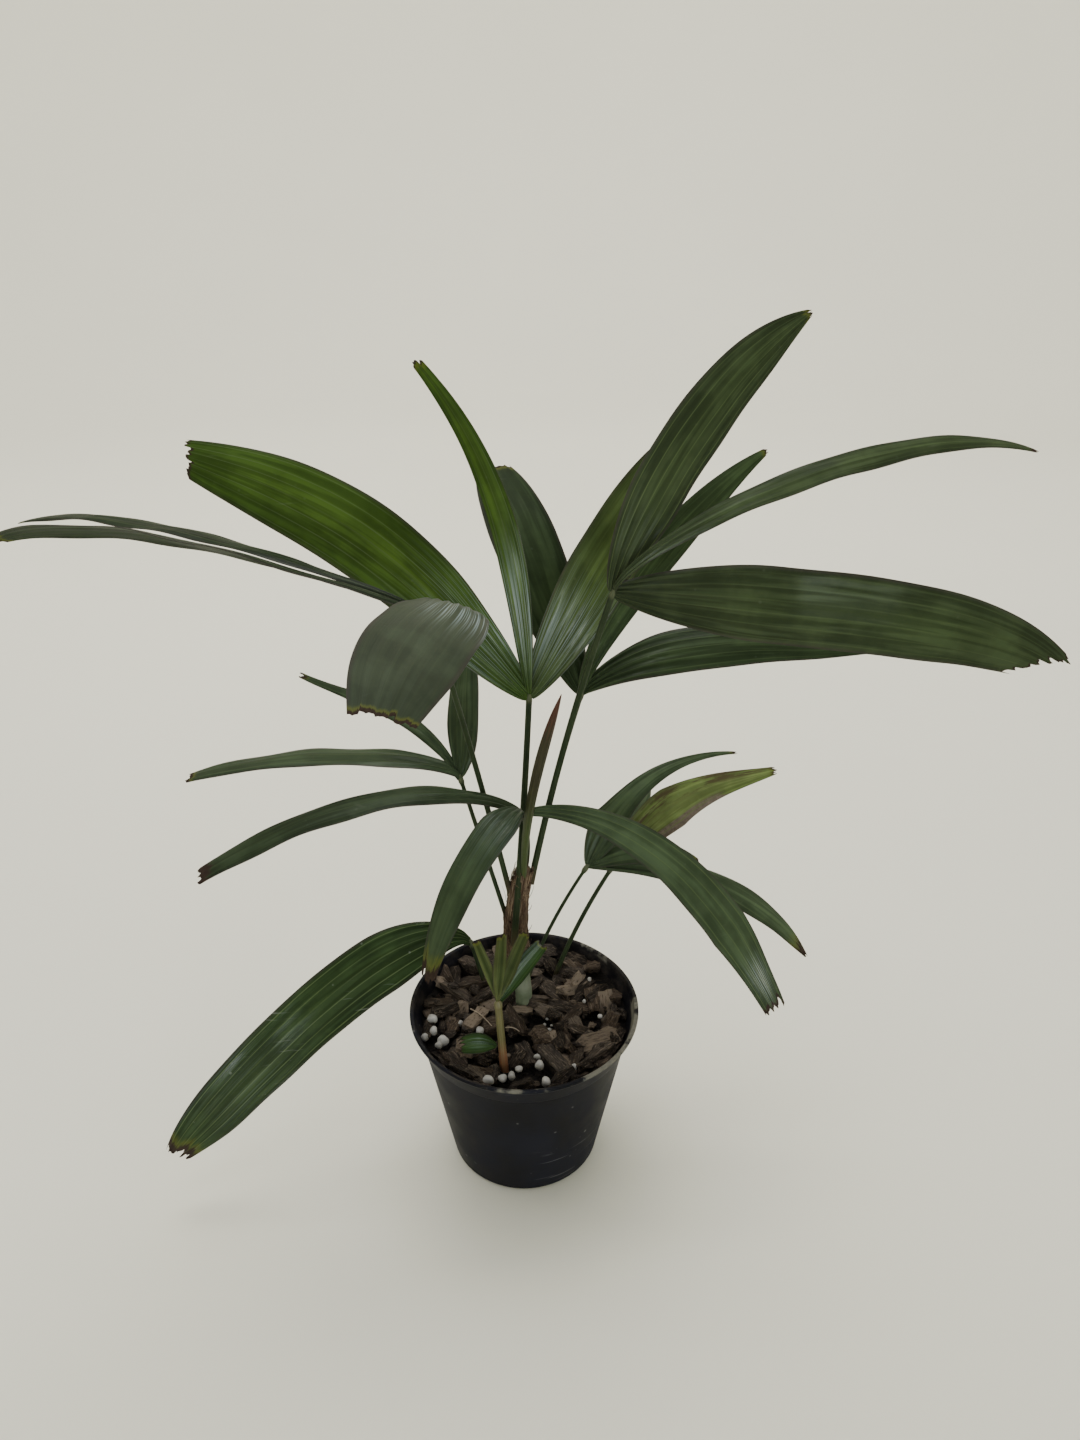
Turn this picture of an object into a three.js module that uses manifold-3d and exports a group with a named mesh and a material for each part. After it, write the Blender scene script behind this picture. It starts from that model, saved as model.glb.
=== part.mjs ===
// A young lady palm (Rhapis) in a round nursery pot, as separate solids: pot, potting mix, trunk,
// unopened leaf, leaf stalks, fronds and a basal shoot.
// Millimetres, +Z up, origin at the centre of the pot's flat underside. +X is to the right and +Y away
// from the front. Bearings are degrees anticlockwise from +X, seen from above.
import * as THREE from "three";
import { mergeVertices } from "three/addons/utils/BufferGeometryUtils.js";
import Module from "manifold-3d";

const wasm = await Module();
wasm.setup();

// ---- Driving dimensions ----

const clearance = 0.35; // gap that touching pieces keep
const hubClearance = 0.5; // gap from a stalk's end to the knuckle of its leaflets

const pot = { height: 82, rimRadius: 52.5, footRadius: 34.6, wall: 1.5, floor: 2.4, footChamfer: 1.2 };
const rimBand = { depth: 11, step: 0.9, flare: 3.2, lip: 0.8 }; // stands out by step and flares up to its lip
const drain = { count: 6, radius: 4, circle: 23 };

const mix = { level: 74, slope: 0.07, sunk: 4 }; // it rises to the back, and stems reach into it by sunk
const mixTop = (y) => mix.level + mix.slope * y;
const chips = { count: 30, length: 13, width: 8, thick: 4.5, spread: 44, seed: 7 };

const trunk = {
  // centre of the stem, from its flat foot up to the top of its sheaths
  course: [
    [-0.6, 10, mixTop(10) - mix.sunk], [-1.8, 10, 95], [-3.6, 10, 118], [-2.2, 9.7, 136], [0.7, 9.4, 151],
  ],
  footRadius: 4,
  sheathRadius: 5.2, // where the fibrous sheaths are thickest
  topRadius: 4.1,
  sheathStart: 0.16, // shares of the height
  sheathFull: 0.42,
  sheaths: 4,
  sheathStep: 0.7,
};

const spear = { foot: [1, 6.4, 151.6], tip: [15.2, -22, 251.5], bend: [-3.6, 0, -1], radius: 2 };

const stalkTaper = 0.8; // of a stalk's girth at its foot, left at its hub
const hubRadius = 1.9;
const blade = {
  thicknessShare: 0.012, step: 14, fewest: 5, edge: 0.55, cup: 0.12,
  base: 0.15, swell: 0.75, // share of the width at the hub, and how fast it swells
  foldDepth: 1.1, broad: 16, // leaflets over this width have three folds, others two
};
const roundSides = 48; // of the pot and the mix in it

// Each frond: the foot, bend and girth of its stalk, its hub, and its leaflets.
// A leaflet's chord has a bearing, a rise and a reach. Arch lifts it and bow carries it to its right,
// most at share lead, and hook drops its tip. It is widest at share widest and fades to tip.
// Roll lifts its right edge, with twist more at the tip, and cut slants its end.
const fronds = {
  top: {
    foot: [-5, 4.5, 122], bend: [0.5, 0, 0], hub: [3, 9.5, 235], girth: 3.2,
    leaflets: [
      {
        bearing: 182, rise: 39, reach: 157, arch: 14.5, bow: -3, hook: 1, lead: 0.55,
        width: 30, widest: 0.52, fade: 2.6, tip: 0.42, cut: 5, roll: 64, twist: -7,
      },
      {
        bearing: 166, rise: 76, reach: 135, arch: 7.5, bow: 1, hook: 9.5, lead: 0.52,
        width: 10.5, widest: 0.48, fade: 1.4, tip: 0.36, roll: 76,
      },
      {
        bearing: 34, rise: 49.5, reach: 121, arch: 5, bow: 1.5, hook: 1, lead: 0.6,
        width: 27.5, widest: 0.5, fade: 4, tip: 0.6, roll: -64, twist: -5,
      },
    ],
  },
  right: {
    foot: [3.5, 9, 144.5], bend: [-1.5, 3.5, 0], hub: [33.6, -15, 289], girth: 3,
    leaflets: [
      {
        bearing: 34, rise: 50.5, reach: 124, arch: 7, hook: 10.5, lead: 0.42,
        width: 22, widest: 0.36, fade: 3.3, tip: 0.08, roll: -71, twist: -5,
      },
      {
        bearing: 19, rise: 18, reach: 181, arch: 16, bow: 9, hook: 21, lead: 0.3,
        width: 10, widest: 0.52, fade: 2, tip: 0.12, roll: -34,
      },
      {
        bearing: 357, rise: -4.5, reach: 160, arch: 6.5, bow: 17, hook: 12.5, lead: 0.52,
        width: 27.5, widest: 0.35, fade: 3.4, tip: 0.52, cut: -21, roll: -81, twist: -4,
      },
    ],
  },
  rear: {
    foot: [3.5, 12, 141], bend: [-1, 2, 0], hub: [25, 29.5, 227], girth: 2.6,
    leaflets: [
      {
        bearing: 359, rise: 9, reach: 123, arch: 13, bow: -2, hook: -2.5, lead: 0.4,
        width: 21, widest: 0.4, fade: 1.6, tip: 0.22, roll: -38,
      },
      {
        bearing: 34, rise: 46.5, reach: 131, arch: 10, bow: 1, hook: 8.5, lead: 0.35,
        width: 15, widest: 0.55, fade: 1.7, tip: 0.16, roll: -55,
      },
      {
        bearing: 118, rise: 44, reach: 114, arch: 12.5, bow: -5, hook: 3, lead: 0.55,
        width: 29, widest: 0.53, fade: 2.7, tip: 0.53, roll: 6, twist: 5,
      },
    ],
  },
  left: {
    foot: [-7.2, 10, 122], bend: [0, 0, 0], hub: [-26.2, 10.4, 197], girth: 2.2,
    leaflets: [
      {
        bearing: 186, rise: 7.5, reach: 111, arch: 7, bow: 2, hook: 8, lead: 0.27,
        width: 16, base: 0.4, widest: 0.3, fade: 2.4, tip: 0.53, roll: -2, twist: -2,
      },
      {
        bearing: 161, rise: 22.5, reach: 81, arch: 7, bow: 7.5, hook: -6, lead: 0.44,
        width: 8, widest: 0.58, fade: 0.6, tip: 0.3, roll: 26,
      },
      {
        bearing: 86, rise: 57, reach: 56, arch: 4, width: 17, widest: 0.44, fade: 1.8, tip: 0.38, roll: 31,
      },
    ],
  },
  near: {
    foot: [-6, 8.5, 139], bend: [-1.2, 11, 0], hub: [-30.7, -34, 287.3], girth: 2.6,
    leaflets: [
      {
        bearing: 174, rise: 15, reach: 154, arch: 7, bow: -9, hook: 18.5, lead: 0.32,
        width: 20, widest: 0.55, fade: 2.4, tip: 0.38, roll: -20, twist: -16,
      },
      {
        bearing: 160, rise: 10, reach: 174, arch: 9, bow: -9, hook: 16, lead: 0.26,
        width: 9, widest: 0.6, fade: 2.4, tip: 0.36, roll: -10, twist: 13,
      },
      {
        bearing: 270, rise: 17, reach: 120, arch: 6.5, bow: -10.5, hook: 14, lead: 0.28,
        width: 29, widest: 0.55, fade: 3.1, tip: 0.56, cut: 3, roll: 13, twist: 10,
      },
    ],
  },
  front: {
    foot: [1.2, 12, 151.4], bend: [1.2, 0, 0], hub: [0.4, 1.5, 184.2], girth: 2.4,
    leaflets: [
      {
        bearing: 196, rise: 0, reach: 133, arch: 18, bow: -0.5, hook: 6.5, lead: 0.4,
        width: 12.5, base: 0.35, widest: 0.38, fade: 3.5, tip: 0.65, roll: 3, twist: 9.5,
      },
      {
        bearing: 231, rise: -30, reach: 78, arch: 22, bow: -7.2, hook: 13, lead: 0.29,
        width: 16, base: 0.05, widest: 0.22, fade: 2.8, tip: 0.36, roll: 6, twist: -2,
      },
      {
        bearing: 352, rise: -38, reach: 148, arch: 26, bow: 3.5, hook: 4.5, lead: 0.36,
        width: 20, widest: 0.68, fade: 0.9, tip: 0.5, roll: -29, twist: -25,
      },
    ],
  },
  low_right: {
    foot: [0.5, 12.5, 82], bend: [-2.5, 0, 0], hub: [28.6, 20, 145], girth: 1.9,
    leaflets: [
      {
        bearing: 29, rise: 31, reach: 88, arch: 15.5, hook: 10.5, lead: 0.45,
        width: 17, widest: 0.23, fade: 0.6, tip: 0.08, roll: -29, twist: 6,
      },
      { bearing: 350, rise: 8, reach: 50, arch: 8, width: 12, tip: 0.3, roll: -40 },
      {
        bearing: 357, rise: -21, reach: 114, arch: 16.3, bow: 3.3, hook: 8, lead: 0.47,
        width: 13.4, widest: 0.65, tip: 0.1, roll: -20,
      },
    ],
  },
  yellowing: {
    foot: [14.1, 28.3, mixTop(28) - mix.sunk], bend: [-2, 0, 0], hub: [40.7, 31.8, 136], girth: 2.4,
    leaflets: [
      {
        bearing: 24, rise: 17.5, reach: 93, arch: 12.3, bow: -3, hook: -3.5, lead: 0.48,
        width: 20, widest: 0.41, fade: 0.9, tip: 0.1, roll: -44,
      },
      { bearing: 70, rise: 10, reach: 60, arch: 8, width: 14, tip: 0.3 },
    ],
  },
  over_rim: {
    foot: [-18.2, 20.7, mixTop(20) - mix.sunk], bend: [0, 0, 0], hub: [-25.5, 25, 98], girth: 2.2,
    leaflets: [
      {
        bearing: 206, rise: -25, reach: 162.5, arch: 22, bow: -0.5, hook: 2.5, lead: 0.29,
        width: 27.5, widest: 0.26, fade: 7.5, tip: 0.4, cut: 1.5, roll: 40, twist: 42,
      },
    ],
  },
};

const shoot = {
  foot: [-8.2, -28, mixTop(-28) - mix.sunk], bend: [0, 0, 0], hub: [-10.5, -28, 108],
  girth: 4, hubRadius: 2,
  leaflets: [
    { bearing: 146, rise: 69, reach: 31, arch: 1, width: 4.5, tip: 0.8, roll: 60, tooth: 1.2 },
    { bearing: 75, rise: 73, reach: 32, arch: 1, width: 7.4, tip: 0.8, roll: -60, tooth: 1.2 },
    { bearing: 48, rise: 57, reach: 33, arch: 1, width: 6, tip: 0.8, roll: -60, tooth: 1.2 },
    { bearing: 35, rise: 42, reach: 32, arch: 1, width: 8, tip: 0.7, roll: -60, tooth: 1.2 },
  ],
};
const stub = { bearing: 186, rise: 4, reach: 17, arch: 2, width: 9, tip: 0.6, roll: 30, tooth: 1 };
const stubBase = [-11.6, -28.6, 84.5];

const leafGreen = 0x3b5530;

// ---- Solids ----

// A closed three.js geometry as a manifold-3d solid.
function solidOf(geometry) {
  geometry.deleteAttribute("normal");
  geometry.deleteAttribute("uv");
  const merged = mergeVertices(geometry, 1e-4);
  return new wasm.Manifold(new wasm.Mesh({
    numProp: 3,
    vertProperties: merged.attributes.position.array,
    triVerts: new Uint32Array(merged.index.array),
  }));
}

// A solid as a named mesh. Of a cut that left scraps, the largest body stays.
function meshOf(name, solid, color, roughness) {
  const whole = solid.decompose().reduce((a, b) => (b.volume() > a.volume() ? b : a));
  const { vertProperties, triVerts } = whole.getMesh();
  const geometry = new THREE.BufferGeometry()
    .setAttribute("position", new THREE.BufferAttribute(vertProperties, 3))
    .setIndex(new THREE.BufferAttribute(triVerts, 1));
  geometry.computeVertexNormals();
  const mesh = new THREE.Mesh(geometry, new THREE.MeshStandardMaterial({ color, roughness, metalness: 0 }));
  mesh.name = name;
  return mesh;
}

// Moves each vertex of a geometry to place(vertex).
function bend(geometry, place) {
  const position = geometry.attributes.position;
  const vertex = new THREE.Vector3();
  for (let i = 0; i < position.count; i++) {
    const moved = place(vertex.fromBufferAttribute(position, i));
    position.setXYZ(i, moved.x, moved.y, moved.z);
  }
  return solidOf(geometry);
}

// A round stem along a curve from share 0 to share end, with its radius as a function of the share.
function stem(curve, radiusAt, end = 1, sides = 8, steps = 8) {
  return bend(new THREE.CylinderGeometry(1, 1, 1, sides, steps), (v) => {
    const share = (v.y + 0.5) * end;
    const tangent = curve.getTangent(share);
    const across = new THREE.Vector3(1, 0, 0).addScaledVector(tangent, -tangent.x).normalize();
    const away = new THREE.Vector3().crossVectors(across, tangent);
    const radius = radiusAt(share);
    return curve.getPoint(share).addScaledVector(across, v.x * radius).addScaledVector(away, v.z * radius);
  });
}

// The chord from foot to hub with its middle moved by bend, and its foot carried further down by extra.
function stalkCurve({ foot, hub, bend: middle }, extra = 0) {
  const to = new THREE.Vector3(...hub);
  const from = new THREE.Vector3(...foot);
  from.addScaledVector(to.clone().sub(from).normalize(), -extra);
  const control = from.clone().add(to).multiplyScalar(0.5).addScaledVector(new THREE.Vector3(...middle), 2);
  return new THREE.QuadraticBezierCurve3(from, control, to);
}

// A leaflet's centre line: chord + arch and bow by sin(pi t^q), which peaks at share lead, - hook t^5.
function leafletLine(hub, { bearing, rise, reach, arch, bow = 0, hook = 0, lead = 0.5 }) {
  const [b, r] = [bearing, rise].map(THREE.MathUtils.degToRad);
  const chord = new THREE.Vector3(Math.cos(b) * Math.cos(r), Math.sin(b) * Math.cos(r), Math.sin(r));
  const right = new THREE.Vector3(Math.sin(b), -Math.cos(b), 0);
  const lift = new THREE.Vector3().crossVectors(right, chord);
  const power = Math.log(0.5) / Math.log(lead);
  const at = (t) => {
    const hump = Math.sin(Math.PI * t ** power);
    return new THREE.Vector3(...hub).addScaledVector(chord, reach * t)
      .addScaledVector(lift, arch * hump - hook * t ** 5).addScaledVector(right, bow * hump);
  };
  return { at, right };
}

// Width share at t: it swells from the base up to widest and fades to the cut tip.
function widthShare(t, { tip, widest = 0.5, fade = 2.2, base = blade.base }) {
  const swelling = Math.sin((Math.PI / 2) * Math.min(1, t / widest)) ** blade.swell;
  if (t < widest) return base + (1 - base) * swelling;
  return 1 - (1 - tip) * ((t - widest) / (1 - widest)) ** fade;
}

// A leaflet: a box of length 1, width 2 and thickness 1, carried along its line, folded lengthwise
// and toothed at its end.
function leafletSolid(hub, size) {
  const { reach, width, roll = 0, twist = 0, cut = 0, tooth = 2 } = size;
  const line = leafletLine(hub, size);
  const folds = width > blade.broad ? 3 : 2;
  const thickness = blade.thicknessShare * reach;
  const steps = Math.max(blade.fewest, Math.round(reach / blade.step));
  return bend(new THREE.BoxGeometry(1, 2, 1, steps, 2 * folds, 1), (v) => {
    const across = -v.y;
    const ridge = 1 - 2 * Math.abs(((across / 2 + 0.5) * folds) % 1 - 0.5); // 1 on the folds' crests
    const t = (v.x + 0.5) * (1 + (cut * across / 2 - tooth * ridge) / reach);
    const tangent = line.at(t + 0.01).sub(line.at(Math.max(0, t - 0.01))).normalize();
    const right = line.right.clone().addScaledVector(tangent, -tangent.dot(line.right)).normalize();
    const angle = THREE.MathUtils.degToRad(roll + twist * t);
    const side = right.clone().applyAxisAngle(tangent, -angle);
    const normal = new THREE.Vector3().crossVectors(side, tangent);
    const share = widthShare(t, size);
    const half = (share * width) / 2;
    const sag = blade.cup * half * across ** 2 + blade.foldDepth * share * (1 - ridge);
    const depth = v.z * thickness * (1 - (1 - blade.edge) * across ** 2);
    return line.at(t).addScaledVector(side, across * half).addScaledVector(normal, depth - sag);
  });
}

// Leaflets fused to the knuckle at their hub.
function frondSolid(hub, leaflets, radius) {
  const knuckle = solidOf(new THREE.SphereGeometry(radius, 10, 8).translate(...hub));
  return leaflets.reduce((whole, size) => whole.add(leafletSolid(hub, size)), knuckle);
}

// A stalk that stops just short of its frond's knuckle, or with extra the space that its neighbours
// keep clear of.
function stalkSolid(spec, extra = 0) {
  const curve = stalkCurve(spec, extra);
  const end = 1 - ((spec.hubRadius ?? hubRadius) + hubClearance) / curve.getLength();
  return stem(curve, (t) => (spec.girth / 2) * (1 - (1 - stalkTaper) * t) + extra, end);
}

// ---- Pot and potting mix ----

const wallTop = pot.height - rimBand.depth;
const wallTopRadius = pot.rimRadius - rimBand.lip - rimBand.flare - rimBand.step;
const lipInner = pot.rimRadius - rimBand.lip - pot.wall;
const outerRadius = (z) => pot.footRadius + (wallTopRadius - pot.footRadius) * (z / wallTop);
const innerRadius = (z) => outerRadius(z) - pot.wall;

function potSolid() {
  const profile = [
    [0, 0], [pot.footRadius - pot.footChamfer, 0], [outerRadius(pot.footChamfer), pot.footChamfer],
    [wallTopRadius, wallTop], [wallTopRadius + rimBand.step, wallTop + rimBand.lip],
    [pot.rimRadius - rimBand.lip, pot.height - 2 * rimBand.lip], [pot.rimRadius, pot.height - rimBand.lip],
    [pot.rimRadius - rimBand.lip / 2, pot.height], [lipInner, pot.height],
    [innerRadius(wallTop), wallTop], [innerRadius(pot.floor), pot.floor], [0, pot.floor],
  ].map(([r, z]) => new THREE.Vector2(r, z));
  let solid = solidOf(new THREE.LatheGeometry(profile, roundSides).rotateX(Math.PI / 2));
  for (let i = 0; i < drain.count; i++) {
    const angle = ((i + 0.5) * 2 * Math.PI) / drain.count;
    const hole = new THREE.CylinderGeometry(drain.radius, drain.radius, 4 * pot.floor, 16);
    hole.rotateX(Math.PI / 2).translate(drain.circle * Math.cos(angle), drain.circle * Math.sin(angle), 0);
    solid = solid.subtract(solidOf(hole));
  }
  return solid;
}

// Repeatable numbers from 0 to 1.
function* numbers(seed) {
  for (let state = seed; ; ) {
    state = (state * 16807) % 2147483647;
    yield state / 2147483647;
  }
}

// The room inside the pot, cut at the mix's sloping top, with coarse bark chips half sunk in it.
function mixSolid(stems) {
  const foot = pot.floor + clearance;
  const profile = [
    [0, foot], [innerRadius(foot) - clearance, foot], [innerRadius(wallTop) - clearance, wallTop],
    [lipInner - clearance, pot.height], [0, pot.height],
  ].map(([r, z]) => new THREE.Vector2(r, z));
  const room = solidOf(new THREE.LatheGeometry(profile, roundSides).rotateX(Math.PI / 2));
  let solid = room.trimByPlane([0, mix.slope, -1], -mix.level / Math.hypot(mix.slope, 1));
  const random = numbers(chips.seed);
  const between = (low, high) => low + (high - low) * random.next().value;
  for (let i = 0; i < chips.count; i++) {
    const radius = chips.spread * Math.sqrt((i + 0.5) / chips.count) - chips.length / 3;
    const angle = i * 2.4; // close to the golden angle, which spreads them evenly
    const scale = between(0.7, 1.1);
    const chip = new THREE.BoxGeometry(chips.length * scale, chips.width * scale, chips.thick);
    chip.rotateX(between(-0.4, 0.4)).rotateY(between(-0.3, 0.3)).rotateZ(between(0, Math.PI));
    const [x, y] = [radius * Math.cos(angle), radius * Math.sin(angle)];
    chip.translate(x, y, mixTop(y) + between(-1.6, 0.6));
    solid = solid.add(solidOf(chip));
  }
  return stems.reduce((whole, cutter) => whole.subtract(cutter), solid.intersect(room));
}

// ---- Trunk, unopened leaf and stalks ----

// Radius of the trunk at a share of its height: bare foot, then overlapping sheaths that each end in a step.
function trunkRadius(t) {
  const swell = THREE.MathUtils.smoothstep(t, trunk.sheathStart, trunk.sheathFull);
  const fade = THREE.MathUtils.smoothstep(t, trunk.sheathFull, 1);
  const body = THREE.MathUtils.lerp(trunk.footRadius, trunk.sheathRadius, swell);
  const radius = THREE.MathUtils.lerp(body, trunk.topRadius, fade);
  return radius - trunk.sheathStep * swell * ((t * trunk.sheaths) % 1);
}

// The trunk, or with extra the space that its neighbours keep clear of.
function trunkSolid(extra = 0) {
  const points = trunk.course.map((p) => new THREE.Vector3(...p));
  points.at(0).z -= extra;
  points.at(-1).z += extra;
  return stem(new THREE.CatmullRomCurve3(points), (t) => trunkRadius(t) + extra, 1, 12, 20);
}

function spearSolid() {
  const curve = stalkCurve({ foot: spear.foot, hub: spear.tip, bend: spear.bend });
  return stem(curve, (t) => spear.radius * (0.55 + 0.75 * t - 1.25 * t ** 7) + 0.05, 1, 8, 14);
}

// ---- The plant ----

const plant = new THREE.Group();
const trunkSpace = trunkSolid(clearance);
const mixCutters = [trunkSpace];

for (const [name, frond] of Object.entries(fronds)) {
  plant.add(meshOf("stalk_" + name, stalkSolid(frond).subtract(trunkSpace), leafGreen, 0.5));
  plant.add(meshOf("frond_" + name, frondSolid(frond.hub, frond.leaflets, hubRadius), leafGreen, 0.4));
  mixCutters.push(stalkSolid(frond, clearance));
}

plant.add(meshOf("trunk", trunkSolid(), 0x5a4334, 0.9));
plant.add(meshOf("spear_leaf", spearSolid().subtract(trunkSpace), 0x4d5730, 0.5));
plant.add(meshOf("shoot_stem", stalkSolid(shoot), 0x5d5a2c, 0.6));
plant.add(meshOf("shoot_frond", frondSolid(shoot.hub, shoot.leaflets, shoot.hubRadius), 0x4c5a2a, 0.4));
plant.add(meshOf("shoot_stub_leaf", leafletSolid(stubBase, stub), leafGreen, 0.4));
mixCutters.push(stalkSolid(shoot, clearance));

plant.add(meshOf("pot", potSolid(), 0x232426, 0.6));
plant.add(meshOf("potting_mix", mixSolid(mixCutters), 0x3a2a22, 1));

export default plant;
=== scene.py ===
import bpy
import numpy as np
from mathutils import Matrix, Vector


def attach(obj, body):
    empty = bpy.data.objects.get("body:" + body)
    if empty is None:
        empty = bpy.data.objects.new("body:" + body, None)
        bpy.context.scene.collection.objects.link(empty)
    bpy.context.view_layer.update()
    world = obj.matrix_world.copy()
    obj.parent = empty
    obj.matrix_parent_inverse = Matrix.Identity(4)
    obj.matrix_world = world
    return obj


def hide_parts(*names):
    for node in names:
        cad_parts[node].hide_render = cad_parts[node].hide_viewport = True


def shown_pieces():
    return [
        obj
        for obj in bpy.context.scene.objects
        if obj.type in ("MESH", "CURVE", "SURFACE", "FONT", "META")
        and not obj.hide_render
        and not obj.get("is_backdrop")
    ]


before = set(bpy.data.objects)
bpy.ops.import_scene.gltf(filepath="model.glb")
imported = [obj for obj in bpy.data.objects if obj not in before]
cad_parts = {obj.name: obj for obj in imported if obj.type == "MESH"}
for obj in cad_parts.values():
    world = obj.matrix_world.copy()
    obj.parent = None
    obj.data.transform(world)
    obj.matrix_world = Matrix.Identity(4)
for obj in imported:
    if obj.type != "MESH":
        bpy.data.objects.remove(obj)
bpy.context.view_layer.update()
mm = 0.001  # sizes below are in millimetres, but those of lamps and camera in metres, as the scene is
pi = np.pi


def unit(v):
    return v / np.maximum(np.linalg.norm(v, axis=-1, keepdims=True), 1e-12)


def smooth(low, high, x):  # 0 below low, 1 above high, s-shaped between
    s = np.clip((x - low) / (high - low), 0, 1)
    return s * s * (3 - 2 * s)


# Angles of count equal steps round a circle, the first one start steps round.
def roundAngles(count, start=0):
    return 2 * pi * (np.arange(count) + start) / count


def roundPoints(radius, angle, z):
    return np.stack(np.broadcast_arrays(radius * np.cos(angle), radius * np.sin(angle), z), -1)


def addObject(name, data):
    item = bpy.data.objects.new(name, data)
    bpy.context.scene.collection.objects.link(item)
    return item


# A piece from its parts: points (mm), faces (one array, or one for each number of corners) and point
# fields. It takes the place of the part's node.
def makePiece(name, parts, material, node, sharp=50, flat=False):
    points, faces, fields = parts
    faceSets = faces if isinstance(faces, tuple) else (faces,)
    mesh = bpy.data.meshes.new(name)
    corners = np.concatenate([faceSet.ravel() for faceSet in faceSets]).astype(np.int32)
    sizes = np.concatenate([np.full(len(faceSet), faceSet.shape[1]) for faceSet in faceSets])
    mesh.vertices.add(len(points))
    mesh.vertices.foreach_set("co", (np.asarray(points) * mm).astype(np.float32).ravel())
    mesh.loops.add(len(corners))
    mesh.loops.foreach_set("vertex_index", corners)
    mesh.polygons.add(len(sizes))
    mesh.polygons.foreach_set("loop_start", np.concatenate([[0], np.cumsum(sizes)[:-1]]).astype(np.int32))
    mesh.polygons.foreach_set("use_smooth", np.full(len(sizes), not flat))
    mesh.update(calc_edges=True)
    for label, values in fields.items():
        values = np.asarray(values, np.float32)
        width = 1 if values.ndim == 1 else values.shape[1]
        kind, key = {1: ("FLOAT", "value"), 3: ("FLOAT_VECTOR", "vector"), 4: ("FLOAT_COLOR", "color")}[width]
        mesh.attributes.new(label, kind, "POINT").data.foreach_set(key, values.ravel())
    if not flat:
        mesh.set_sharp_from_angle(angle=np.radians(sharp))
    mesh.materials.append(material)
    piece = addObject(name, mesh)
    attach(piece, "root")
    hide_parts(node)
    return piece


# Faces of count closed skins, each of rows rings joined by quads and fanned to a pole at either end.
def ringFaces(count, rows, ring):
    i, j = np.arange(rows - 1)[:, None], np.arange(ring)[None, :]
    a, b = i * ring + j, i * ring + (j + 1) % ring
    quads = np.stack([a, b, b + ring, a + ring], -1).reshape(-1, 4)
    j = np.arange(ring)
    low, high, last = rows * ring, rows * ring + 1, (rows - 1) * ring
    fans = np.concatenate([np.stack([(j + 1) % ring, j, np.full(ring, low)], -1),
                           np.stack([last + j, last + (j + 1) % ring, np.full(ring, high)], -1)])
    step = (np.arange(count) * (rows * ring + 2))[:, None, None]
    return (quads + step).reshape(-1, 4), (fans + step).reshape(-1, 3)


# Per-ring values (count, rows, ring, ...) as one list of points, each skin's two poles after its rings.
def poled(values):
    count = values.shape[0]
    flat = values.reshape(count, -1, *values.shape[3:])
    poles = np.stack([values[:, 0].mean(1), values[:, -1].mean(1)], 1)
    return np.concatenate([flat, poles], 1).reshape(-1, *values.shape[3:])


# Closed skins from rings (count, rows, ring, 3): points, faces and point fields, all with their poles.
def skins(rings, **fields):
    shape = rings.shape[:3]
    spread = {key: np.broadcast_to(values, rings.shape if np.ndim(values) == 4 else shape)
              for key, values in fields.items()}
    return poled(rings), ringFaces(*shape), {key: poled(values) for key, values in spread.items()}


# Round rings along paths: path + radius (cos a side + sin a lift), side = guide x tangent.
def tubeRings(paths, radii, sides, guide):
    tangent = unit(np.gradient(paths, axis=1))
    side = unit(np.cross(np.broadcast_to(guide, paths.shape), tangent))
    lift = np.cross(tangent, side)
    a = roundAngles(sides)[:, None]
    around = np.cos(a) * side[:, :, None] + np.sin(a) * lift[:, :, None]
    return paths[:, :, None] + radii[..., None, None] * around


# Rings round one path, each point drawn in toward it by its share.
def flutedRings(path, radius, shares):
    rings = tubeRings(path[None], radius[None], len(shares), (1, 0, 0))
    return path[None, :, None] + (rings - path[None, :, None]) * shares[None, None, :, None]


# The quadratic curve from foot to tip whose middle moves by bend, at shares t, and its direction at the tip.
def bentLine(foot, tip, bend, t):
    foot, tip = np.array(foot, float), np.array(tip, float)
    control = (foot + tip) / 2 + 2 * np.array(bend)
    return foot * (1 - t) ** 2 + 2 * control * t * (1 - t) + tip * t ** 2, unit(tip - control)


# Faces of a thin shell whose rings run over cols points of its top and back under them.
def shellFaces(rows, cols):
    ring = 2 * cols
    i, j = np.arange(rows - 1)[:, None], np.arange(ring)[None, :]
    a, b = i * ring + j, i * ring + (j + 1) % ring
    walls = np.stack([a, b, b + ring, a + ring], -1).reshape(-1, 4)
    j = np.arange(cols - 1)
    cap = np.stack([j, j + 1, ring - 2 - j, ring - 1 - j], -1)
    return np.concatenate([walls, cap[:, ::-1], cap + (rows - 1) * ring])


def shellRings(top, bottom):
    return np.concatenate([top, bottom[:, ::-1]], 1)


# A thin shell from the two grids of points of its sides, with fields that both sides share.
def shell(top, bottom, **fields):
    size = top.shape[:2]
    both = {key: shellRings(*[np.broadcast_to(values, size)] * 2).ravel() for key, values in fields.items()}
    return shellRings(top, bottom).reshape(-1, 3), shellFaces(*size), both


# Several (points, faces, fields) as one.
def joined(parts):
    starts = np.cumsum([0] + [len(p[0]) for p in parts[:-1]])
    points = np.concatenate([p[0] for p in parts])
    faces = np.concatenate([p[1] + start for p, start in zip(parts, starts)])
    fields = {key: np.concatenate([p[2][key] for p in parts]) for key in parts[0][2]}
    return points, faces, fields


# The node tree that the helpers below add to. newGroup and newMaterial set it.
current = {"tree": None}


def link(source, target):
    current["tree"].links.new(source, target)


# A socket set to a value or linked to another socket.
def feed(socket, value):
    if isinstance(value, bpy.types.NodeSocket):
        link(value, socket)
    else:
        socket.default_value = value


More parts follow.
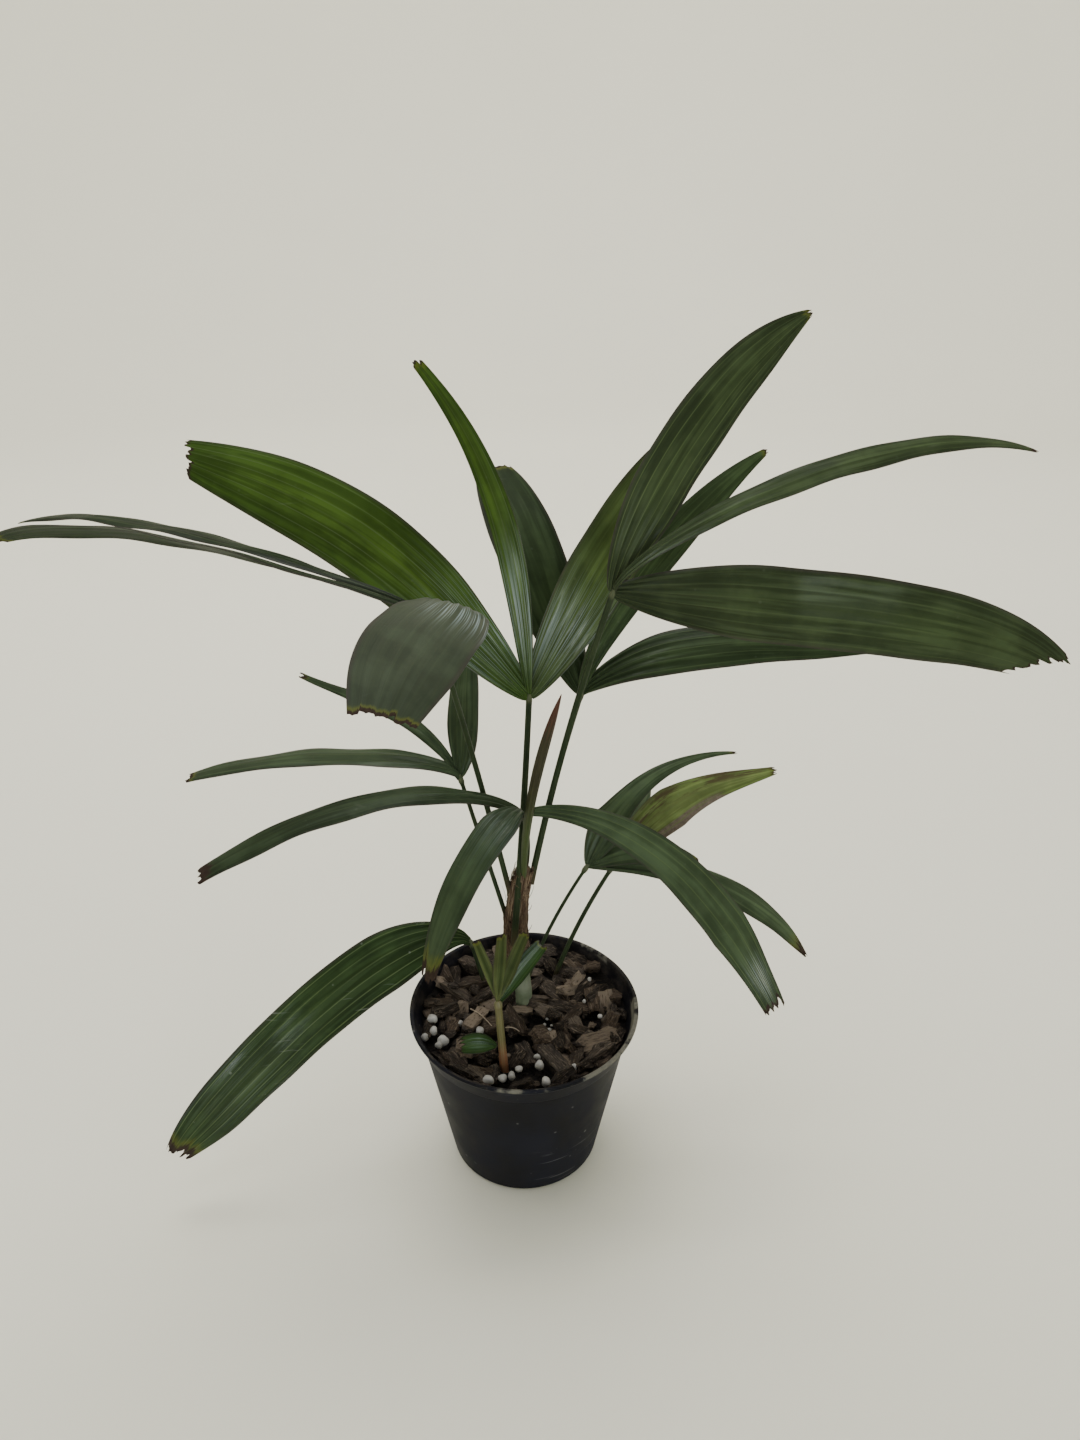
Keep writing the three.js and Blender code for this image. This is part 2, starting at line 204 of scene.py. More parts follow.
# A node with its settings and inputs.
def put(kind, inputs=None, **settings):
    node = current["tree"].nodes.new("ShaderNode" + kind)
    for key, value in settings.items():
        setattr(node, key, value)
    for key, value in (inputs or {}).items():
        feed(node.inputs[key], value)
    return node


def calc(operation, *values, clamp=False):
    return put("Math", dict(enumerate(values)), operation=operation, use_clamp=clamp).outputs[0]


def times(*values, clamp=False):
    return calc("MULTIPLY", *values, clamp=clamp)


def timesPlus(*values, clamp=False):  # the first times the second, plus the third
    return calc("MULTIPLY_ADD", *values, clamp=clamp)


def ramp(value, low, high, fromLow=0.0, toHigh=1.0):  # s-shaped step: fromLow at low, toHigh at high
    inputs = {0: value, 1: low, 2: high, 3: fromLow, 4: toHigh}
    return put("MapRange", inputs, interpolation_type="SMOOTHSTEP").outputs[0]


def blend(share, first, second, mode="MIX"):
    node = put("Mix", {0: share}, data_type="RGBA", blend_type=mode)
    for index, value in ((6, first), (7, second)):
        feed(node.inputs[index], value if isinstance(value, bpy.types.NodeSocket) else (*value, 1))
    return node.outputs[2]


# A colour with others laid over it in turn, each by its share.
def painted(colour, *layers):
    for share, paint in layers:
        colour = blend(share, colour, paint)
    return colour


def vector(*parts):
    return put("CombineXYZ", dict(enumerate(parts))).outputs[0]


def noise(place, scale, detail=3.0, roughness=0.55, distortion=0.0):
    return put("TexNoise", {"Vector": place, "Scale": scale, "Detail": detail, "Roughness": roughness,
                            "Distortion": distortion}).outputs[0]


def field(name, socket="Fac"):
    return put("Attribute", attribute_name=name).outputs[socket]


def objectPlace():
    return put("TexCoord").outputs["Object"]


# A node group with named sockets. A kind's first letter stands for it: F a number, V a vector.
def newGroup(name, inputs, outputs):
    kinds = {"F": "NodeSocketFloat", "V": "NodeSocketVector"}
    tree = current["tree"] = bpy.data.node_groups.new(name, "ShaderNodeTree")
    for direction, sockets in (("INPUT", inputs), ("OUTPUT", outputs)):
        for label, kind in sockets.items():
            tree.interface.new_socket(label, in_out=direction, socket_type=kinds[kind])
    source, sink = tree.nodes.new("NodeGroupInput"), tree.nodes.new("NodeGroupOutput")
    return tree, source.outputs, sink.inputs


def useGroup(group, **inputs):
    return put("Group", inputs, node_tree=group).outputs


# Inputs of a material's Principled BSDF, by their names with _ for each space.
def setSurface(material, **inputs):
    shader = material.node_tree.nodes["Principled BSDF"]
    for key, value in inputs.items():
        feed(shader.inputs[key.replace("_", " ")], value)


def newMaterial(name, **inputs):
    material = bpy.data.materials.new(name)
    material.use_nodes = True
    current["tree"] = material.node_tree
    setSurface(material, **inputs)
    return material


def finishSurface(material, colour, roughness, height, depth, strength, **more):
    bump = put("Bump", {"Height": height, "Distance": depth * mm, "Strength": strength}).outputs[0]
    setSurface(material, Base_Color=colour, Roughness=roughness, Normal=bump, **more)
    return material


# Slow and fine cloudiness over an object: Cloud and Grain from 0 to 1.
def makeMottle():
    tree, source, sink = newGroup("mottle", {"Place": "V", "Scale": "F"}, {"Cloud": "F", "Grain": "F"})
    place, scale = source["Place"], source["Scale"]
    link(ramp(noise(place, scale, 4), .3, .7), sink["Cloud"])
    link(noise(place, times(scale, 9.0), 3, .7), sink["Grain"])
    return tree


# Lengthwise streaks that follow a piece: noise drawn out along it. Across and Along are in its own measures.
def makeStreaks():
    inputs = {"Across": "F", "Along": "F", "Fine": "F"}
    tree, source, sink = newGroup("streaks", inputs, {"Wide": "F", "Thin": "F"})
    across, along = source["Across"], times(source["Along"], .012)
    link(ramp(noise(vector(across, along), 1.6, 2), .3, .7), sink["Wide"])
    link(noise(vector(times(across, source["Fine"]), along), 1.0, 2), sink["Thin"])
    return tree


# Sparse pale scuffs and specks: short scratches in two directions and small dots.
def makeScuffs():
    tree, source, sink = newGroup("scuffs", {"Place": "V", "Scale": "F"}, {"Scratches": "F", "Specks": "F"})
    place, scale = source["Place"], source["Scale"]
    lines = 0.0
    for turn, offset in ((.5, 3.0), (-1.1, 11.0)):
        drawnOut = put("Mapping", {"Vector": place, "Location": (offset, offset, 0),
                                   "Rotation": (turn, turn / 2, turn), "Scale": (1, 1, 14)}).outputs[0]
        thread, patch = noise(drawnOut, scale, 2, .5), noise(place, times(scale, .5), 1)
        lines = calc("MAXIMUM", times(ramp(thread, .66, .74), ramp(patch, .52, .66)), lines)
    link(lines, sink["Scratches"])
    dots = put("TexVoronoi", {"Vector": place, "Scale": times(scale, 5.0)}).outputs["Distance"]
    chosen = ramp(noise(place, times(scale, 3.0), 1), .6, .7)
    link(times(ramp(dots, .1, .22, 1, 0), chosen), sink["Specks"])
    return tree


mottle, streaks, scuffs = makeMottle(), makeStreaks(), makeScuffs()


def mottled(scale):
    return useGroup(mottle, Place=objectPlace(), Scale=scale)


def streaked(across, along, fine):
    return useGroup(streaks, Across=across, Along=along, Fine=fine)


def scuffed(scale):
    return useGroup(scuffs, Place=objectPlace(), Scale=scale)


print("stage")
stageSet = dict(radius=2600, sweep=900, height=2600, inner=(1, 300, 900), sides=96, colour=(.80, .78, .67))


# A round floor that sweeps up into a wall: flat to radius - sweep, then a quarter circle, then straight up.
def sweptFloor():
    radius, sweep, sides = stageSet["radius"], stageSet["sweep"], stageSet["sides"]
    turn = np.linspace(0, pi / 2, 25)
    r = np.concatenate([stageSet["inner"], radius - sweep * (1 - np.sin(turn)), [radius]])[:, None]
    z = np.concatenate([[0, 0, 0], sweep * (1 - np.cos(turn)), [stageSet["height"]]])[:, None]
    a = np.linspace(0, 2 * pi, sides, endpoint=False)
    rings = roundPoints(r, a, z)
    i, j = np.arange(len(r) - 1)[:, None], np.arange(sides)[None, :]
    start, after = i * sides + j, i * sides + (j + 1) % sides
    faces = np.stack([start, start + sides, after + sides, after], -1).reshape(-1, 4)
    return rings.reshape(-1, 3), faces.tolist() + [list(range(sides))]


floorMaterial = newMaterial("backdropPaint", Roughness=.9)
paint = blend(mottled(1.5)["Cloud"], stageSet["colour"], [c * .97 for c in stageSet["colour"]])
setSurface(floorMaterial, Base_Color=paint)
floorPoints, floorFaces = sweptFloor()
floorMesh = bpy.data.meshes.new("floor")
floorMesh.from_pydata((floorPoints * mm).tolist(), [], floorFaces)
floorMesh.materials.append(floorMaterial)
floorMesh.shade_smooth()
floor = addObject("floor", floorMesh)
floor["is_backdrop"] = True

worldSet = {"Color": (.93, .97, 1, 1), "Strength": .55}
world = bpy.data.worlds.new("studio")
bpy.context.scene.world = world
world.use_nodes = True
for key, value in worldSet.items():
    world.node_tree.nodes["Background"].inputs[key].default_value = value

lampSet = {
    "overhead": dict(place=(-.3, .3, 1.7), aim=(0, 0, .2), size=1.7, watts=20, colour=(1, .985, .96)),
    "window": dict(place=(.36, -1.76, .40), aim=(0, 0, .2), size=.8, watts=15, colour=(.88, .95, 1)),
    "backdrop": dict(place=(0, .9, 2.3), aim=(0, 2.5, .6), size=1.6, watts=45, colour=(1, .98, .94)),
}
for lampName, lamp in lampSet.items():
    light = bpy.data.lights.new(lampName, "AREA")
    light.size, light.energy, light.color = lamp["size"], lamp["watts"], lamp["colour"]
    lampObject = addObject(lampName, light)
    lampObject.location = lamp["place"]
    toward = Vector(lamp["aim"]) - Vector(lamp["place"])
    lampObject.rotation_euler = toward.to_track_quat("-Z", "Y").to_euler()

cameraSet = dict(place=(.0073, -.3803, .4279), tilt=62.43, lens=27.05, sensor=36, nearest=.02, farthest=20)
cameraData = bpy.data.cameras.new("camera")
cameraData.lens, cameraData.sensor_width = cameraSet["lens"], cameraSet["sensor"]
cameraData.clip_start, cameraData.clip_end = cameraSet["nearest"], cameraSet["farthest"]
camera = addObject("camera", cameraData)
camera.location = cameraSet["place"]
camera.rotation_euler = (np.radians(cameraSet["tilt"]), 0, 0)
bpy.context.scene.camera = camera

print("leaves")

# Linear base colours of a blade: at its edges, along its middle, and underneath.
tones = {
    "fresh": dict(edge=(.028, .054, .009), middle=(.040, .072, .012), under=(.040, .065, .018)),
    "dull": dict(edge=(.034, .050, .018), middle=(.040, .060, .018), under=(.038, .058, .020)),
    "deep": dict(edge=(.030, .042, .020), middle=(.038, .055, .023), under=(.036, .052, .024)),
    "shade": dict(edge=(.019, .030, .013), middle=(.025, .039, .016), under=(.025, .038, .017)),
    "soft": dict(edge=(.030, .044, .023), middle=(.038, .056, .028), under=(.038, .055, .029)),
    "hazy": dict(edge=(.031, .040, .025), middle=(.037, .047, .030), under=(.037, .047, .030)),
    "mature": dict(edge=(.020, .036, .013), middle=(.028, .048, .017), under=(.034, .052, .016)),
    "olive": dict(edge=(.060, .082, .024), middle=(.085, .110, .036), under=(.09, .11, .045)),
    "shootOlive": dict(edge=(.062, .074, .026), middle=(.034, .048, .016), under=(.050, .062, .026)),
    "shootGreen": dict(edge=(.016, .036, .009), middle=(.022, .048, .012), under=(.03, .05, .016)),
}

# What a leaflet has unless it says otherwise: its line, outline, pleats, end, colours and shine.
bladeSet = dict(
    lead=.5, bow=0, hook=0, roll=0, twist=0, rowStep=1.3, foldColumns=8, thickness=.34, cup=.12,
    base=.15, swell=.75, widest=.5, fade=2.2,
    pleatAtBase=.32, pleatAtTip=.025,  # pleat depth as a share of the pleat's width
    cut=0, steps=0,  # how far the end slants, and how far the slant goes in steps, one for each pleat
    tooth=1.6, burn=1.0, halo=3.0,  # length of the end's teeth, of its dry brown edge and its yellow border
    wave=.45, ripple=.35, ribs=.3, stripes=1, wear=.03, shade=1, paintedLightToTip=0, blight=0, margin=0,
    gloss=.08, bloom=0,  # shine and painted sheen (a painted highlight), then where along the leaf, how far, on which side, how wide
    glossAt=0, glossReach=.5, glossSide=0, glossWidth=9,
)

# The leaf stalks, as in the part's own dimensions, with the tone of their leaflets.
fronds = {
    "top": dict(foot=(-5, 4.5, 122), bend=(.5, 0, 0), hub=(3, 9.5, 235), girth=3.2, tone="fresh"),
    "right": dict(foot=(3.5, 9, 144.5), bend=(-1.5, 3.5, 0), hub=(33.6, -15, 289), girth=3, tone="deep"),
    "rear": dict(foot=(3.5, 12, 141), bend=(-1, 2, 0), hub=(25, 29.5, 227), girth=2.6, tone="shade"),
    "left": dict(foot=(-7.2, 10, 122), bend=(0, 0, 0), hub=(-26.2, 10.4, 197), girth=2.2, tone="soft"),
    "near": dict(foot=(-6, 8.5, 139), bend=(-1.2, 11, 0), hub=(-30.7, -34, 287.3), girth=2.6, tone="soft"),
    "front": dict(foot=(1.2, 12, 151.4), bend=(1.2, 0, 0), hub=(.4, 1.5, 184.2), girth=2.4, tone="soft"),
    "low_right": dict(foot=(.5, 12.5, 82), bend=(-2.5, 0, 0), hub=(28.6, 20, 145), girth=1.9, tone="soft"),
    "yellowing": dict(foot=(14.1, 28.3, 72), bend=(-2, 0, 0), hub=(40.7, 31.8, 136), girth=2.4, tone="soft"),
    "over_rim": dict(foot=(-18.2, 20.7, 71.4), bend=(0, 0, 0), hub=(-25.5, 25, 98), girth=2.2, tone="mature"),
}
# The leaflets of each frond, as in the part's own dimensions, with their pleats and finish.
leaflets = {
    "top": [
        dict(bearing=182, rise=39, reach=157, arch=14.5, bow=-3, hook=1, lead=.55, width=30, widest=.52,
             fade=2.6, tip=.42, cut=5, roll=64, twist=-7, pleats=7, halo=1, gloss=.2, glossAt=.2,
             glossReach=.15, ribs=.5, bloom=.5),
        dict(bearing=166, rise=76, reach=135, arch=7.5, bow=1, hook=9.5, lead=.52, width=10.5, widest=.48,
             fade=1.4, tip=.36, roll=76, pleats=3, gloss=.45, glossAt=.24, glossReach=.16, ribs=.5, shade=1.1,
             bloom=.9),
        dict(bearing=34, rise=49.5, reach=121, arch=5, bow=1.5, hook=1, lead=.6, width=27.5, widest=.5,
             fade=4, tip=.6, roll=-64, twist=-5, pleats=6, gloss=.2, glossAt=.24, glossReach=.15, bloom=.6,
             paintedLightToTip=1.1, ribs=.4, tone="dull"),
    ],
    "right": [
        dict(bearing=34, rise=50.5, reach=124, arch=7, hook=10.5, lead=.42, width=22, widest=.36, fade=3.3,
             tip=.08, roll=-71, twist=-5, pleats=6, ribs=.7),
        dict(bearing=19, rise=18, reach=181, arch=16, bow=9, hook=21, lead=.3, width=10, widest=.52, fade=2,
             tip=.12, roll=-34, pleats=3, burn=3),
        dict(bearing=357, rise=-4.5, reach=160, arch=6.5, bow=17, hook=12.5, lead=.52, width=27.5, widest=.35,
             fade=3.4, tip=.52, cut=-21, roll=-81, twist=-4, pleats=6, burn=1.2, halo=1, tooth=3.5, steps=.9,
             ribs=.25),
    ],
    "rear": [
        dict(bearing=359, rise=9, reach=123, arch=13, bow=-2, hook=-2.5, lead=.4, width=21, widest=.4,
             fade=1.6, tip=.22, roll=-38, pleats=5),
        dict(bearing=34, rise=46.5, reach=131, arch=10, bow=1, hook=8.5, lead=.35, width=15, widest=.55,
             fade=1.7, tip=.16, roll=-55, pleats=4, shade=1.55),
        dict(bearing=118, rise=44, reach=114, arch=12.5, bow=-5, hook=3, lead=.55, width=29, widest=.53,
             fade=2.7, tip=.53, roll=6, twist=5, pleats=5, ribs=.05),
    ],
    "left": [
        dict(bearing=186, rise=7.5, reach=111, arch=7, bow=2, hook=8, lead=.27, width=16, base=.4, widest=.3,
             fade=2.4, tip=.53, roll=-2, twist=-2, pleats=3, burn=1.6),
        dict(bearing=161, rise=22.5, reach=81, arch=7, bow=7.5, hook=-6, lead=.44, width=8, widest=.58,
             fade=.6, tip=.3, roll=26, pleats=2, burn=2),
        dict(bearing=86, rise=57, reach=56, arch=4, width=17, widest=.44, fade=1.8, tip=.38, roll=31,
             pleats=4),
    ],
    "near": [
        dict(bearing=174, rise=15, reach=154, arch=7, bow=-9, hook=18.5, lead=.32, width=20, widest=.55,
             fade=2.4, tip=.38, roll=-20, twist=-16, pleats=4, shade=.6),
        dict(bearing=160, rise=10, reach=174, arch=9, bow=-9, hook=16, lead=.26, width=9, widest=.6, fade=2.4,
             tip=.36, roll=-10, twist=13, pleats=2, shade=.5),
        dict(bearing=270, rise=17, reach=120, arch=6.5, bow=-10.5, hook=14, lead=.28, width=29, widest=.55,
             fade=3.1, tip=.56, cut=3, roll=13, twist=10, pleats=6, burn=1.1, halo=2.2, tooth=1.4,
             tone="hazy", ribs=.05, stripes=.35, shade=1.1, gloss=.1, bloom=.9, glossAt=.36, glossReach=.13,
             glossSide=-1.5),
    ],
    "front": [
        dict(bearing=196, rise=0, reach=133, arch=18, bow=-.5, hook=6.5, lead=.4, width=12.5, base=.35,
             widest=.38, fade=3.5, tip=.65, roll=3, twist=9.5, pleats=3, burn=5, halo=2, tooth=3.5, shade=.8,
             ribs=.15, stripes=.7),
        dict(bearing=231, rise=-30, reach=78, arch=22, bow=-7.2, hook=13, lead=.29, width=16, base=.05,
             widest=.22, fade=2.8, tip=.36, roll=6, twist=-2, pleats=4, burn=4.5, halo=9, tooth=3, ribs=.1,
             stripes=.5, gloss=.1, bloom=.15, glossAt=.2, glossReach=.2),
        dict(bearing=352, rise=-38, reach=148, arch=26, bow=3.5, hook=4.5, lead=.36, width=20, widest=.68,
             fade=.9, tip=.5, roll=-29, twist=-25, pleats=4, burn=3, halo=1, tooth=4.5, shade=1.2, ribs=.6,
             stripes=.6, gloss=1, bloom=1.4, glossAt=.87, glossReach=.06, glossWidth=.5),
    ],
    "low_right": [
        dict(bearing=29, rise=31, reach=88, arch=15.5, hook=10.5, lead=.45, width=17, widest=.23, fade=.6,
             tip=.08, roll=-29, twist=6, pleats=4, burn=2, shade=1.15),
        dict(bearing=350, rise=8, reach=50, arch=8, width=12, tip=.3, roll=-40, pleats=3),
        dict(bearing=357, rise=-21, reach=114, arch=16.3, bow=3.3, hook=8, lead=.47, width=13.4, widest=.65,
             tip=.1, roll=-20, pleats=3, burn=8, halo=13, tooth=2.5, shade=1.15),
    ],
    "yellowing": [
        dict(bearing=24, rise=17.5, reach=93, arch=12.3, bow=-3, hook=-3.5, lead=.48, width=20, widest=.41,
             fade=.9, tip=.18, roll=-44, pleats=5, burn=1.5, tone="olive", blight=1, margin=1, shade=1.45),
        dict(bearing=70, rise=10, reach=60, arch=8, width=14, tip=.3, pleats=3),
    ],
    "over_rim": [
        dict(bearing=206, rise=-25, reach=162.5, arch=22, bow=-.5, hook=2.5, lead=.29, width=27.5, widest=.26,
             fade=7.5, tip=.4, cut=1.5, roll=40, twist=42, pleats=6, burn=4.5, halo=8, tooth=2.8, wear=.2,
             ribs=.9, gloss=.2, bloom=.1, glossAt=.75, glossReach=.2),
    ],
}


# Centre line at t: hub + chord reach t + lift (arch hump - hook t^5) + right bow hump, hump = sin(pi t^q).
def bladeLine(hub, leaf, t):
    bearing, rise = np.radians([leaf["bearing"], leaf["rise"]])
    chord = np.array([np.cos(bearing) * np.cos(rise), np.sin(bearing) * np.cos(rise), np.sin(rise)])
    right = np.array([np.sin(bearing), -np.cos(bearing), 0])
    lift = np.cross(right, chord)
    t = np.maximum(t, 0)[..., None]
    hump = np.sin(pi * t ** (np.log(.5) / np.log(leaf["lead"])))
    raised = lift * (leaf["arch"] * hump - leaf["hook"] * t ** 5)
    return np.array(hub) + chord * leaf["reach"] * t + raised + right * leaf["bow"] * hump, right


# Share of the full width at t: a quarter sine up to the widest place, then 1 - (1 - tip) x^fade.
def widthShare(leaf, t):
    widest, tip, base = leaf["widest"], leaf["tip"], leaf["base"]
    swelling = base + (1 - base) * np.sin(pi / 2 * np.clip(t / widest, 0, 1)) ** leaf["swell"]
    fading = 1 - (1 - tip) * np.clip((t - widest) / (1 - widest), 0, 1.2) ** leaf["fade"]
    return np.where(t < widest, swelling, fading)


# A leaflet: line(t) + side across width / 2 - normal sag, pleated lengthwise, its end cut into teeth.
def bladeShell(hub, leaf, tone, seed):
    leaf = {"tone": tone, **bladeSet, **leaf}
    random = np.random.default_rng(seed)
    pleats, reach = leaf["pleats"], leaf["reach"]
    cols, rows = pleats * leaf["foldColumns"] + 1, int(reach / leaf["rowStep"]) + 8
    across = np.linspace(-1, 1, cols)[None, :]
    s = np.linspace(0, 1, rows)[:, None]
    fold = (across / 2 + .5) * pleats
    pleat = 1 - np.abs(2 * (fold % 1) - 1)
    pleat = .65 * pleat + .35 * smooth(0, 1, pleat)
    fray = np.convolve(random.uniform(0, 1, cols + 2), [.25, .5, .25], "valid")[None, :]
    torn = random.uniform(0, 1, 2 * pleats + 2)[(2 * fold).astype(int)]
    teeth = leaf["tooth"] * (.3 * (1 - pleat) + .9 * torn ** 2 + .7 * fray * (.3 + torn))
    stepped = (np.minimum(np.floor(fold), pleats - 1) + .5) / pleats * 2 - 1
    slant = across + (stepped - across) * leaf["steps"]
    t = s * (1 + (leaf["cut"] * slant / 2 - teeth) / reach)
    centre, right = bladeLine(hub, leaf, t)
    tangent = unit(bladeLine(hub, leaf, t + .01)[0] - bladeLine(hub, leaf, t - .01)[0])
    level = unit(right - tangent * (tangent @ right)[..., None])
    angle = np.radians(leaf["roll"] + leaf["twist"] * t)[..., None]
    side = level * np.cos(angle) - np.cross(tangent, level) * np.sin(angle)
    normal = np.cross(side, tangent)
    share = widthShare(leaf, t)
    half = share * leaf["width"] / 2
    slope = leaf["pleatAtTip"] + (leaf["pleatAtBase"] - leaf["pleatAtTip"]) * (1 - smooth(0, .42, t))
    depth = 2 * half / pleats * slope
    phase = random.uniform(0, 2 * pi, 4)
    mmAlong = t * reach
    wave = leaf["wave"] * share * np.sin(mmAlong / 9 + phase[0]) * np.sin(mmAlong / 23 + phase[1])
    edge = leaf["ripple"] * across ** 2 * share * np.sin(mmAlong / 5.5 + phase[2] + across * 2)
    sag = leaf["cup"] * half * across ** 2 + depth * (.5 - pleat) + wave + edge
    skin = centre + side * (across * half)[..., None] - normal * sag[..., None]
    thick = (leaf["thickness"] / 2 * (1 - .45 * across ** 2) * (.6 + .4 * smooth(0, .1, 1 - s)))[..., None]
    edgeTone, midTone, underTone = [np.array(tones[leaf["tone"]][key]) for key in ("edge", "middle", "under")]
    middle = (np.exp(-(across / .62) ** 2) * smooth(0, .35, t) * (1 - .5 * smooth(.75, 1, t)))[..., None]
    top = edgeTone * (1 - middle) + midTone * middle
    # Painted light: the tint grows lighter toward the tip by this share, standing in for light the leaflet
    # does not catch.
    shade = leaf["shade"] * (1 + .12 * (random.uniform() - .5)) * (1 + leaf["paintedLightToTip"] * t[..., None])
    tint = np.concatenate([shellRings(top * shade, underTone * shade), np.ones((rows, 2 * cols, 1))], -1)
    # Where the leaf shines: both the coat's gloss and the painted highlight of the sheen field follow it.
    shine = np.exp(-((t - leaf["glossAt"]) / leaf["glossReach"]) ** 2)
    onSide = np.clip(1 + leaf["glossSide"] * across, 0, 1)
    shine = shine * onSide * np.exp(-(across / leaf["glossWidth"]) ** 2)
    fromTip = (1 - s) * reach
    points, faces, fields = shell(
        skin + normal * thick, skin - normal * thick, fold=fold, across=across, along=mmAlong + 40 * seed,
        burnt=fromTip / leaf["burn"], yellowed=fromTip / leaf["halo"], ribs=leaf["ribs"], wear=leaf["wear"],
        stripes=leaf["stripes"], gloss=leaf["gloss"] * shine, bloom=leaf["bloom"] * shine,
        blight=leaf["blight"] * (.2 + .8 * smooth(-.1, .5, -across)),
        margin=np.maximum(0, across * leaf["margin"]) * (1 - smooth(.62, .8, t)),
    )
    return points, faces, dict(fields, tint=tint.reshape(-1, 4))


# Waxy leaf: its own tint, pale ribs on the pleats, lengthwise veins, dry brown teeth with a yellow border,
# and painted sheen: pale blue-grey streaks that stand in for reflected light.
def makeLeafMaterial():
    material = newMaterial("leafBlade", IOR=1.45, Specular_IOR_Level=.03, Coat_Roughness=.15, Coat_IOR=1.8)
    fold, along, clouds = field("fold"), field("along"), mottled(60.0)
    veins, marks = streaked(fold, along, 9.0), scuffed(55.0)
    colour = field("tint", "Color")
    stripes = timesPlus(ramp(veins["Wide"], .2, .9, -.2, .25), field("stripes"), 1.0)
    for share in (ramp(clouds["Cloud"], 0, 1, .82, 1.12), stripes):
        colour = blend(1.0, colour, vector(share, share, share), "MULTIPLY")
    crest = calc("ABSOLUTE", calc("SUBTRACT", calc("FRACT", fold), .5))
    rib = times(ramp(crest, .03, .08, 1, 0), ramp(veins["Thin"], .35, .6, .3, 1))
    rim = ramp(calc("ABSOLUTE", field("across")), .88, .99, 0, .6)
    thread = calc("SUBTRACT", veins["Thin"], .5)
    uneven = timesPlus(thread, 2.2, times(calc("SUBTRACT", noise(objectPlace(), 260.0, 3), .5), 1.2))
    yellow = ramp(timesPlus(uneven, .35, field("yellowed")), .55, 1.1, 1, 0)
    drawnOut = vector(times(fold, 1.1), times(along, .03))
    blotches = times(ramp(noise(drawnOut, 1.3, 5, .7), .45, .57), field("blight"))
    dead = ramp(timesPlus(thread, 1.2, field("margin")), .50, .66)
    withered = blend(clouds["Grain"], (.050, .034, .028), (.19, .15, .125))
    brown = ramp(calc("ADD", uneven, field("burnt")), .7, 1.15, 1, 0)
    dry = blend(clouds["Grain"], (.012, .008, .007), (.050, .034, .026))
    pale = times(calc("MAXIMUM", marks["Scratches"], marks["Specks"]), field("wear"))
    # Pale blue-grey streaks painted into the colour: a painted highlight standing in for reflected light.
    bloom = times(field("bloom"), ramp(veins["Thin"], .5, .61), clamp=True)
    colour = painted(
        colour, (times(rib, field("ribs")), (.075, .105, .042)), (rim, (.040, .032, .030)),
        (times(yellow, .5), (.11, .12, .018)), (times(blotches, .85), (.052, .036, .022)),
        (times(dead, .9), withered), (brown, dry), (pale, (.35, .37, .33)), (bloom, (.20, .25, .25)),
    )
    gloss = times(field("gloss"), ramp(veins["Wide"], .2, .8, .4, 1))
    rough = timesPlus(clouds["Cloud"], .12, .42)
    rough = timesPlus(calc("MAXIMUM", brown, blotches), .35, rough, clamp=True)
    height = timesPlus(clouds["Grain"], .35, veins["Thin"])
    return finishSurface(material, colour, rough, height, .12, .6, Coat_Weight=gloss)


# Several leaflets from one hub, as one.
def leafFan(hub, leaves, tone, seed):
    return joined([bladeShell(hub, leaf, tone, seed + k) for k, leaf in enumerate(leaves)])


leafMaterial = makeLeafMaterial()
for index, (name, frond) in enumerate(fronds.items()):
    fan = leafFan(frond["hub"], leaflets[name], frond["tone"], 10 * index + 1)
    makePiece("leaves_" + name, fan, leafMaterial, "frond_" + name)

print("stalks")
stalkSet = dict(taper=.8, sides=20, steps=70, knuckle=1.35, groove=.07)
stalkFeet = {"top": (-4.4, 4.2, 113)}  # runs on down behind the trunk's fibre


# A stalk on a quadratic curve whose middle moves by bend, grooved on top, swelling to a knuckle at its hub.
def stalkRings(foot, bend, hub, girth, knuckle):
    t = np.linspace(0, 1, stalkSet["steps"])[:, None]
    path, onward = bentLine(foot, hub, bend, t)
    length = np.linalg.norm(np.subtract(hub, foot))
    fromHub = length * (1 - t[:, 0])
    path += onward[None, :] * (knuckle * .8 * smooth(.97, 1, t))
    radius = girth / 2 * (1 - (1 - stalkSet["taper"]) * t[:, 0])
    swelling = np.sqrt(np.clip(1 - ((fromHub - 1.2) / 3.4) ** 2, 0, 1)) * np.where(fromHub < 1.2, .9, 1)
    radius = np.maximum(radius, knuckle * swelling)
    radius[-1] *= .55
    a = roundAngles(stalkSet["sides"])
    pinch = 1 - stalkSet["groove"] * ((1 + np.cos(2 * a)) * .5 + np.exp(-((a - pi / 2) / .4) ** 2))
    rings = flutedRings(path, radius, pinch)
    return skins(rings, along=length * t, turn=np.cos(a) * 3, fromHub=fromHub[:, None])


# What the materials of stems share: clouds, and fine lines that run up them.
def stemGrain(scale, fine):
    return mottled(scale), streaked(field("turn"), field("along"), fine)


# Green stalk: fine lengthwise lines, paler at its knuckle, browner at its foot.
def makeStalkMaterial():
    material = newMaterial("leafStalk", IOR=1.45, Specular_IOR_Level=.06)
    clouds, lines = stemGrain(70.0, 4.0)
    colour = painted(
        blend(clouds["Cloud"], (.016, .025, .012), (.025, .037, .017)),
        (ramp(lines["Thin"], .45, .7, 0, .4), (.050, .064, .034)),
        (times(ramp(field("along"), 2, 12, 1, 0), .6), (.07, .05, .03)),
        (ramp(field("fromHub"), 1.2, 3.5, .6, 0), (.11, .12, .07)),
    )
    rough = timesPlus(clouds["Grain"], .2, .36)
    return finishSurface(material, colour, rough, lines["Thin"], .1, .5)


stalkMaterial = makeStalkMaterial()
for name, frond in fronds.items():
    foot = stalkFeet.get(name, frond["foot"])
    rings = stalkRings(foot, frond["bend"], frond["hub"], frond["girth"], stalkSet["knuckle"])
    makePiece("petiole_" + name, rings, stalkMaterial, "stalk_" + name)

